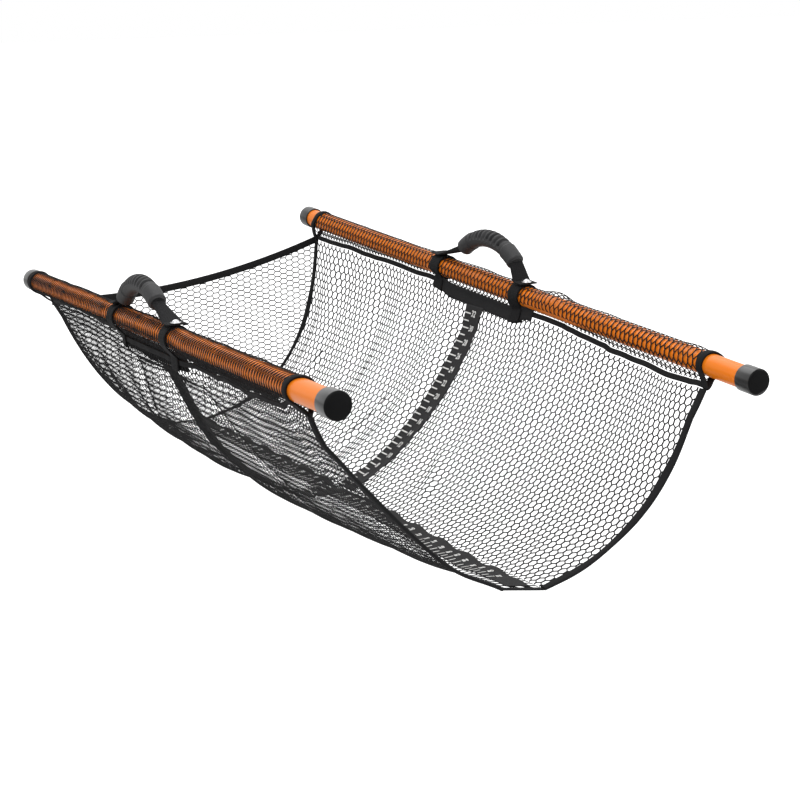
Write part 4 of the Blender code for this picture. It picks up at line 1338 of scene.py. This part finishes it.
@dataclass(frozen=True)
class EndWall:
    """The net wall that closes the rear, in two halves, each cut along its own side's section."""

    left: Side
    right: Side
    pitch: float = 0.0079
    row: float = 0.0101
    strand: float = 0.0015
    band_width: float = 0.0105
    band_sag: float = 0.021
    gap: float = 0.0003
    bend_reach: float = 0.19
    top_steps: int = 12
    band_steps: int = 40

    def ends(self) -> list[Vector]:
        """The upper corners of the wall."""
        down = NET_TOP - self.band_width / 2
        return [side.seam_point(SLEEVE_REAR, down) for side in (self.left, self.right)]

    def top(self, x: float) -> float:
        """The height of the wall's slack upper edge at x."""
        left, right = self.ends()
        share = (x - left.x) / (right.x - left.x)
        return lerp(left.z, right.z, share) - 4 * self.band_sag * share * (1 - share)

    def netting(self, side: Side) -> bmesh.types.BMesh:
        """One half's netting, cut along the trough's own section."""
        profile = side.profile(round(SLEEVE_REAR, 4)).points
        corner = abs(profile[-1].x)
        high = max(self.top(side.sign * corner), self.top(0.0))
        y = SLEEVE_REAR + BINDING_WIDTH + self.gap + NET_LIFT

        def place(up: float, out: float) -> Vector:
            """Where a point of the flat net lies."""
            return Vector((side.sign * out, y, up))

        bm = net_mesh(self.pitch, self.row, (high, corner), self.strand, place)
        for a, b in zip(profile, profile[1:]):
            cut(bm, (a.x, 0.0, a.z), (side.sign * (b.z - a.z), 0.0, -side.sign * (b.x - a.x)))
        for step in range(self.top_steps):
            xs = [side.sign * lerp(0.0, corner, (step + shift) / self.top_steps) for shift in (0, 1)]
            high_a, high_b = (self.top(x) - self.band_width / 2 for x in xs)
            slope = (high_b - high_a) / (xs[1] - xs[0])
            for vert in bm.verts:
                if min(xs) <= vert.co.x <= max(xs):
                    vert.co.z = min(vert.co.z, high_a + slope * (vert.co.x - xs[0]))
        return bm

    def band(self, side: Side) -> bmesh.types.BMesh:
        """One half of the folded band along the wall's upper edge."""
        corner = side.sign * (abs(side.profile(round(SLEEVE_REAR, 4)).points[-1].x) - self.gap)
        y = SLEEVE_REAR + BINDING_WIDTH + self.gap + BINDING_THICKNESS / 2

        def point(share: float) -> Vector:
            """The band's middle at a share of the way to the corner."""
            x = lerp(0.0, corner, share)
            return Vector((x, y, self.top(x) - self.band_width / 2))

        track = Track(sampled(self.band_steps, point))

        def place(around: float, along: float) -> Vector:
            """Where a point round the band's section lies."""
            deep, tall = rounded_section(around, 0.8, 0.55)
            offset = Vector((0.0, deep * BINDING_THICKNESS * 0.8, tall * self.band_width / 2))
            return track.at(along * track.length) + offset

        return rope_mesh((2 * self.band_width, track.length), (20, 60), place)

    def build(self) -> None:
        """Adds both halves, tied to no body."""
        for side in (self.left, self.right):
            name = side.name
            net = add_piece(f"wall_net_{name}", self.netting(side), "", YARN, [f"net_end_{name}"],
                            NET_THICKNESS)
            band = add_piece(f"wall_band_{name}", self.band(side), "", BINDING, [f"end_band_{name}"])
            for piece in (net, band):
                end = (side.sign * self.bend_reach, SLEEVE_REAR, 0.0)
                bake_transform(piece)


@dataclass(frozen=True)
class Handle:
    """The patch, loops, strap, grip and rivet of one handle."""

    side: Side
    patch_thickness: float = 0.0012
    webbing_thickness: float = 0.0014
    strap_thickness: float = 0.0018
    pad_width: float = 0.026
    core_width: float = 0.014
    core_thickness: float = 0.009
    drawn_over: float = 0.045
    loop_seat: float = 0.0147
    middle_diameter: float = 0.0230
    end_diameter: float = 0.0206
    grooves: int = 9
    groove_depth: float = 0.0040
    panel_ends: Pair = (0.22, 0.78)
    cuff_end: float = 0.19
    cuff_rise: float = 0.0011
    rivet_diameter: float = 0.009
    rivet_height: float = 0.003
    washer_diameter: float = 0.013
    washer_thickness: float = 0.0008
    washer_bore: float = 0.0022
    shank_radius: float = 0.002
    shank_reach: float = 0.003
    gap: float = 0.0003
    tail_past_patch: float = 0.002

    def matrix(self) -> Matrix:
        """The handle's frame: origin on the pole's axis at the handle's middle."""
        return self.side.pole_matrix() @ Matrix.Translation((0.0, self.side.handle_y, 0.0))

    def patch(self) -> bmesh.types.BMesh:
        """The patch on the seam's inner face."""
        section = Track(self.side.patch)
        front, rear = self.side.patch_ends

        def place(across: float, along: float) -> Vector:
            """Where a point of the flat patch lies."""
            out, down = section.at(across * section.length)
            return self.side.hang(lerp(front, rear, along), out, down)

        return cloth_mesh((section.length, rear - front), (6, 60), place)

    def loop(self, end: int) -> bmesh.types.BMesh:
        """The webbing loop round the sleeve at the front (-1) or rear (+1) end of the handle."""
        half_angle = math.asin(self.loop_seat / SLEEVE_TIP)
        inner_neck, outer_neck = (LOOP_RADIUS / math.sin(half_angle) - out / math.tan(half_angle)
                                  for out in (INNER_TAIL_OUT, OUTER_TAIL_OUT))
        low = PATCH_LOW + self.tail_past_patch

        def bend(share: float) -> Vector:
            """The webbing's middle at a share of the way round the sleeve."""
            angle = lerp(-half_angle, math.pi + half_angle, share)
            return Vector((LOOP_RADIUS * math.cos(angle), -LOOP_RADIUS * math.sin(angle)))

        track = Track([(OUTER_TAIL_OUT, low), (OUTER_TAIL_OUT, outer_neck), *sampled(48, bend),
                       (-INNER_TAIL_OUT, inner_neck), (-INNER_TAIL_OUT, low)])
        middle = self.side.handle_y + end * LOOP_SPACING / 2

        def place(across: float, along: float) -> Vector:
            """Where a point of the flat webbing lies."""
            out, down = track.at(along * track.length)
            return self.side.hang(middle + (across - 0.5) * LOOP_WIDTH, out, down)

        return cloth_mesh((LOOP_WIDTH, track.length), (6, 90), place)

    def grip_track(self) -> Track:
        """The middle line of the grip, as points of the handle's YZ plane."""
        radius = ((GRIP_CHORD / 2) ** 2 + GRIP_RISE ** 2) / (2 * GRIP_RISE)
        half_angle = math.asin(GRIP_CHORD / 2 / radius)
        front, rear = self.side.grip_heights
        tilt = math.asin((rear - front) / GRIP_CHORD)

        def point(share: float) -> Vector:
            """The grip's middle at a share of its arc."""
            angle = lerp(-half_angle, half_angle, share)
            along = radius * math.sin(angle)
            rise = GRIP_RISE - radius * (1 - math.cos(angle))
            y = self.side.grip_shift + along * math.cos(tilt) - rise * math.sin(tilt)
            return Vector((0.0, y, (front + rear) / 2 + along * math.sin(tilt) + rise * math.cos(tilt)))

        return Track(sampled(EDGE_STEPS, point))

    def grip(self) -> bmesh.types.BMesh:
        """The moulded grip: plain cuffs, and grooves across the top of its swollen middle."""
        track = self.grip_track()
        first, last = self.panel_ends

        def place(around: float, along: float) -> Vector:
            """Where a point of the grip's skin lies."""
            distance = along * track.length
            up = X.cross(track.heading(distance))
            turn = math.tau * around
            near = min(along, 1 - along)
            lip = ease(near / 0.02)
            radius = lerp(self.end_diameter, self.middle_diameter, math.sin(math.pi * along) ** 2) / 2
            radius *= 0.86 + 0.14 * lip
            panel = ease((along - first) / 0.02) * ease((last - along) / 0.02)
            top = ease((math.sin(turn) + 0.05) / 0.25)
            wave = 0.5 - 0.5 * math.cos(math.tau * self.grooves * (along - first) / (last - first))
            radius -= panel * top * self.groove_depth * ease((wave - 0.25) / 0.45)
            radius += self.cuff_rise * ease((self.cuff_end - near) / 0.012) * lip
            return track.at(distance) + (X * math.cos(turn) + up * math.sin(turn)) * radius

        bm = rope_mesh((math.pi * self.middle_diameter, track.length), (56, 220), place)
        bmesh.ops.transform(bm, matrix=self.matrix(), verts=bm.verts)
        return bm

    def strap(self) -> bmesh.types.BMesh:
        """The webbing strap: flat pads on the loops, drawn in to a round core inside the grip."""
        half = LOOP_SPACING / 2
        grip = self.grip_track()
        pads = [(0.0, y, PAD_HEIGHT) for y in (-half - STRAP_PAD_FRONT, -half + STRAP_PAD_BACK,
                                               half - STRAP_PAD_BACK, half + STRAP_PAD_FRONT)]
        core = sampled(30, lambda share: grip.at(grip.length * share))
        track = Track([*pads[:2], *core, *pads[2:]])
        pad = STRAP_PAD_FRONT + STRAP_PAD_BACK

        def place(around: float, along: float) -> Vector:
            """Where a point round the strap's section lies."""
            distance = along * track.length
            near = min(distance, track.length - distance)
            drawn = min(max((near - pad) / self.drawn_over, 0.0), 1.0)
            up = X.cross(track.heading(distance))
            wide, deep = rounded_section(around, 0.5, 0.6)
            wide *= lerp(self.pad_width, self.core_width, drawn) / 2
            deep *= lerp(self.strap_thickness, self.core_thickness, drawn) / 2
            return track.at(distance) + X * wide + up * deep

        bm = rope_mesh((2 * self.pad_width, track.length), (24, 200), place)
        bmesh.ops.transform(bm, matrix=self.matrix(), verts=bm.verts)
        return bm

    def rivet(self) -> tuple[bmesh.types.BMesh, bmesh.types.BMesh]:
        """The domed rivet and the washer under it."""
        y = -LOOP_SPACING / 2 - STRAP_PAD_FRONT + self.washer_diameter / 2 + self.gap
        top = PAD_HEIGHT + self.strap_thickness / 2 + self.gap
        seat = top + self.washer_thickness
        foot = PAD_HEIGHT - self.shank_reach - seat
        head = self.rivet_diameter / 2
        angles = [math.radians(90) * (1 - step / 8) for step in range(9)]
        dome = [(head * math.cos(angle), self.rivet_height * math.sin(angle)) for angle in angles]
        dome += [(self.shank_radius, 0.0), (self.shank_radius, foot), (0.0, foot)]
        outer, bore, high = self.washer_diameter / 2, self.washer_bore, self.washer_thickness
        ring = rounded([(bore, high), (outer, high), (outer, 0.0), (bore, 0.0), (bore, high)], 1, high / 2, 3)
        rivet, washer = (turned_mesh(shape, 40, self.matrix() @ Matrix.Translation((0.0, y, height)))
                         for shape, height in ((dome, seat), (ring, top)))
        return rivet, washer

    def build(self) -> None:
        """Adds the handle's pieces."""
        name = self.side.name
        fixed = f"{name}_side"
        add_piece(f"panel_{name}", self.patch(), fixed, PATCH, [f"patch_{name}"], self.patch_thickness)
        for word, end in ENDS:
            add_piece(f"loop_{name}_{word}", self.loop(end), fixed, WEBBING, [f"strap_loop_{name}_{word}"],
                      self.webbing_thickness)
        body = f"{name}_handle"
        add_piece(f"grip_{name}", self.grip(), body, GRIP, [f"handle_grip_{name}"], sharp=60.0)
        add_piece(f"strap_{name}", self.strap(), body, WEBBING, [f"handle_strap_{name}"])
        rivet, washer = self.rivet()
        add_piece(f"rivet_head_{name}", rivet, body, STEEL, [f"rivet_{name}"])
        add_piece(f"washer_{name}", washer, body, STEEL, [f"rivet_washer_{name}"])


@dataclass(frozen=True)
class Studio:
    """The camera, the white surroundings and the soft lamps."""

    location: tuple[float, float, float] = (-0.99783, -2.14391, 0.6435)
    turn: tuple[float, float, float] = (77.6262, 1.1421, -27.2536)
    lens: float = 86.499
    floor_height: float = -0.30
    floor_size: float = 60.0
    daylight: float = 0.45
    floor_glow: float = 0.66
    lamps: tuple = (
        ("key", (-1.6, -1.8, 3.0), 2.4, 70.0),
        ("fill", (2.6, -1.2, 2.0), 2.4, 34.0),
        ("top", (0.2, 1.6, 3.2), 3.0, 45.0),
    )

    def camera(self) -> None:
        """Sets up the camera at the photograph's place."""
        data = bpy.data.cameras.new("camera")
        data.lens = self.lens
        data.clip_start = 0.05
        camera = add_object("camera", data)
        camera.location = self.location
        camera.rotation_euler = [math.radians(angle) for angle in self.turn]
        bpy.context.scene.camera = camera

    def world(self) -> None:
        """Makes the surroundings: white to the camera and in reflections, plain grey light otherwise."""
        world = bpy.data.worlds.new("studio")
        bpy.context.scene.world = world
        world.use_nodes = True
        nodes = Nodes(world.node_tree)
        rays = [nodes.node("ShaderNodeLightPath", output=f"Is {kind} Ray")
                for kind in ("Camera", "Transmission", "Glossy")]
        share = rays[0].combine("MAXIMUM", rays[0], rays[1])
        share = share.combine("MAXIMUM", share, rays[2])
        plain = nodes.tree.nodes["Background"]
        nodes.link(WHITE, plain.inputs["Color"])
        nodes.link(self.daylight, plain.inputs["Strength"])
        white = nodes.node("ShaderNodeBackground", {}, {"Color": WHITE, "Strength": 1.0})
        lit = Signal(nodes, plain.outputs[0])
        mixed = nodes.node("ShaderNodeMixShader", {}, {0: share, 1: lit, 2: white})
        nodes.link(mixed, nodes.tree.nodes["World Output"].inputs["Surface"])

    def floor(self) -> None:
        """Lays the pale floor, which shows white where no shadow falls."""
        bm = bmesh.new()
        bmesh.ops.create_grid(bm, x_segments=1, y_segments=1, size=self.floor_size / 2,
                              matrix=Matrix.Translation((0.0, 0.0, self.floor_height)))
        mesh = to_mesh("floor", bm)
        floor = add_object("floor", mesh)
        paint = Paint("pale floor")
        seen = paint.node("ShaderNodeLightPath", output="Is Camera Ray")
        distance = paint.node("ShaderNodeVectorMath", {"operation": "LENGTH"}, {0: paint.place()}, "Value")
        far = paint.node("ShaderNodeMapRange", {}, {"Value": distance, "From Min": 1.2, "From Max": 3.0})
        glow = seen * (self.floor_glow + far * (1 - self.floor_glow))
        paint.set(Base_Color=(0.80, 0.80, 0.80), Roughness=0.9, Emission_Color=(1.0, 1.0, 1.0),
                  Emission_Strength=glow)
        mesh.materials.append(paint.material)

    def light(self) -> None:
        """Hangs the soft lamps, each aimed at the cradle."""
        for name, place, size, power in self.lamps:
            data = bpy.data.lights.new(name, "AREA")
            data.size = size
            data.energy = power
            lamp = add_object(name, data)
            lamp.location = place
            lamp.rotation_euler = (-Vector(place)).to_track_quat("-Z", "Y").to_euler()

    def build(self) -> None:
        """Sets up the whole studio."""
        bpy.context.scene.view_settings.view_transform = "Standard"
        self.camera()
        self.world()
        self.floor()
        self.light()


def clear_stray_objects() -> None:
    """Removes what a new file starts with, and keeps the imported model."""
    kept = {*frame["bodies"].values(), *frame["nodes"].values()}
    for stray in [found for found in bpy.data.objects if found not in kept]:
        bpy.data.objects.remove(stray)


def main() -> None:
    """Builds the studio and the cradle's sub-assemblies in order."""
    logging.basicConfig(level=logging.INFO, format="%(message)s")
    clear_stray_objects()
    Studio().build()
    for side in (LEFT, RIGHT):
        Pole(side).build()
    Sleeve(LEFT, pitch=0.0070, rows=6, strand=0.0008, straight=0.15, mouth_back=0.010, slant=0.010,
           tip_back=0.006, rear_back=0.0, bump=0.0).build()
    Sleeve(RIGHT, pitch=0.0088, rows=9, strand=0.0014, straight=0.5, mouth_back=0.0, slant=-0.006,
           tip_back=-0.006, rear_back=0.018, bump=0.0050).build()
    SidePanel(LEFT, pitch=0.0070, row=0.0115, strand=0.0010, straight=0.3, shear=0.0, wall=0.0006).build()
    SidePanel(RIGHT, pitch=0.0104, row=0.0090, strand=0.0020, straight=0.6, shear=0.15).build()
    Keel().build()
    EndWall(LEFT, RIGHT).build()
    CrossRuler(LEFT, RIGHT).build()
    for side in (LEFT, RIGHT):
        Handle(side).build()


if __name__ == "__main__":
    main()
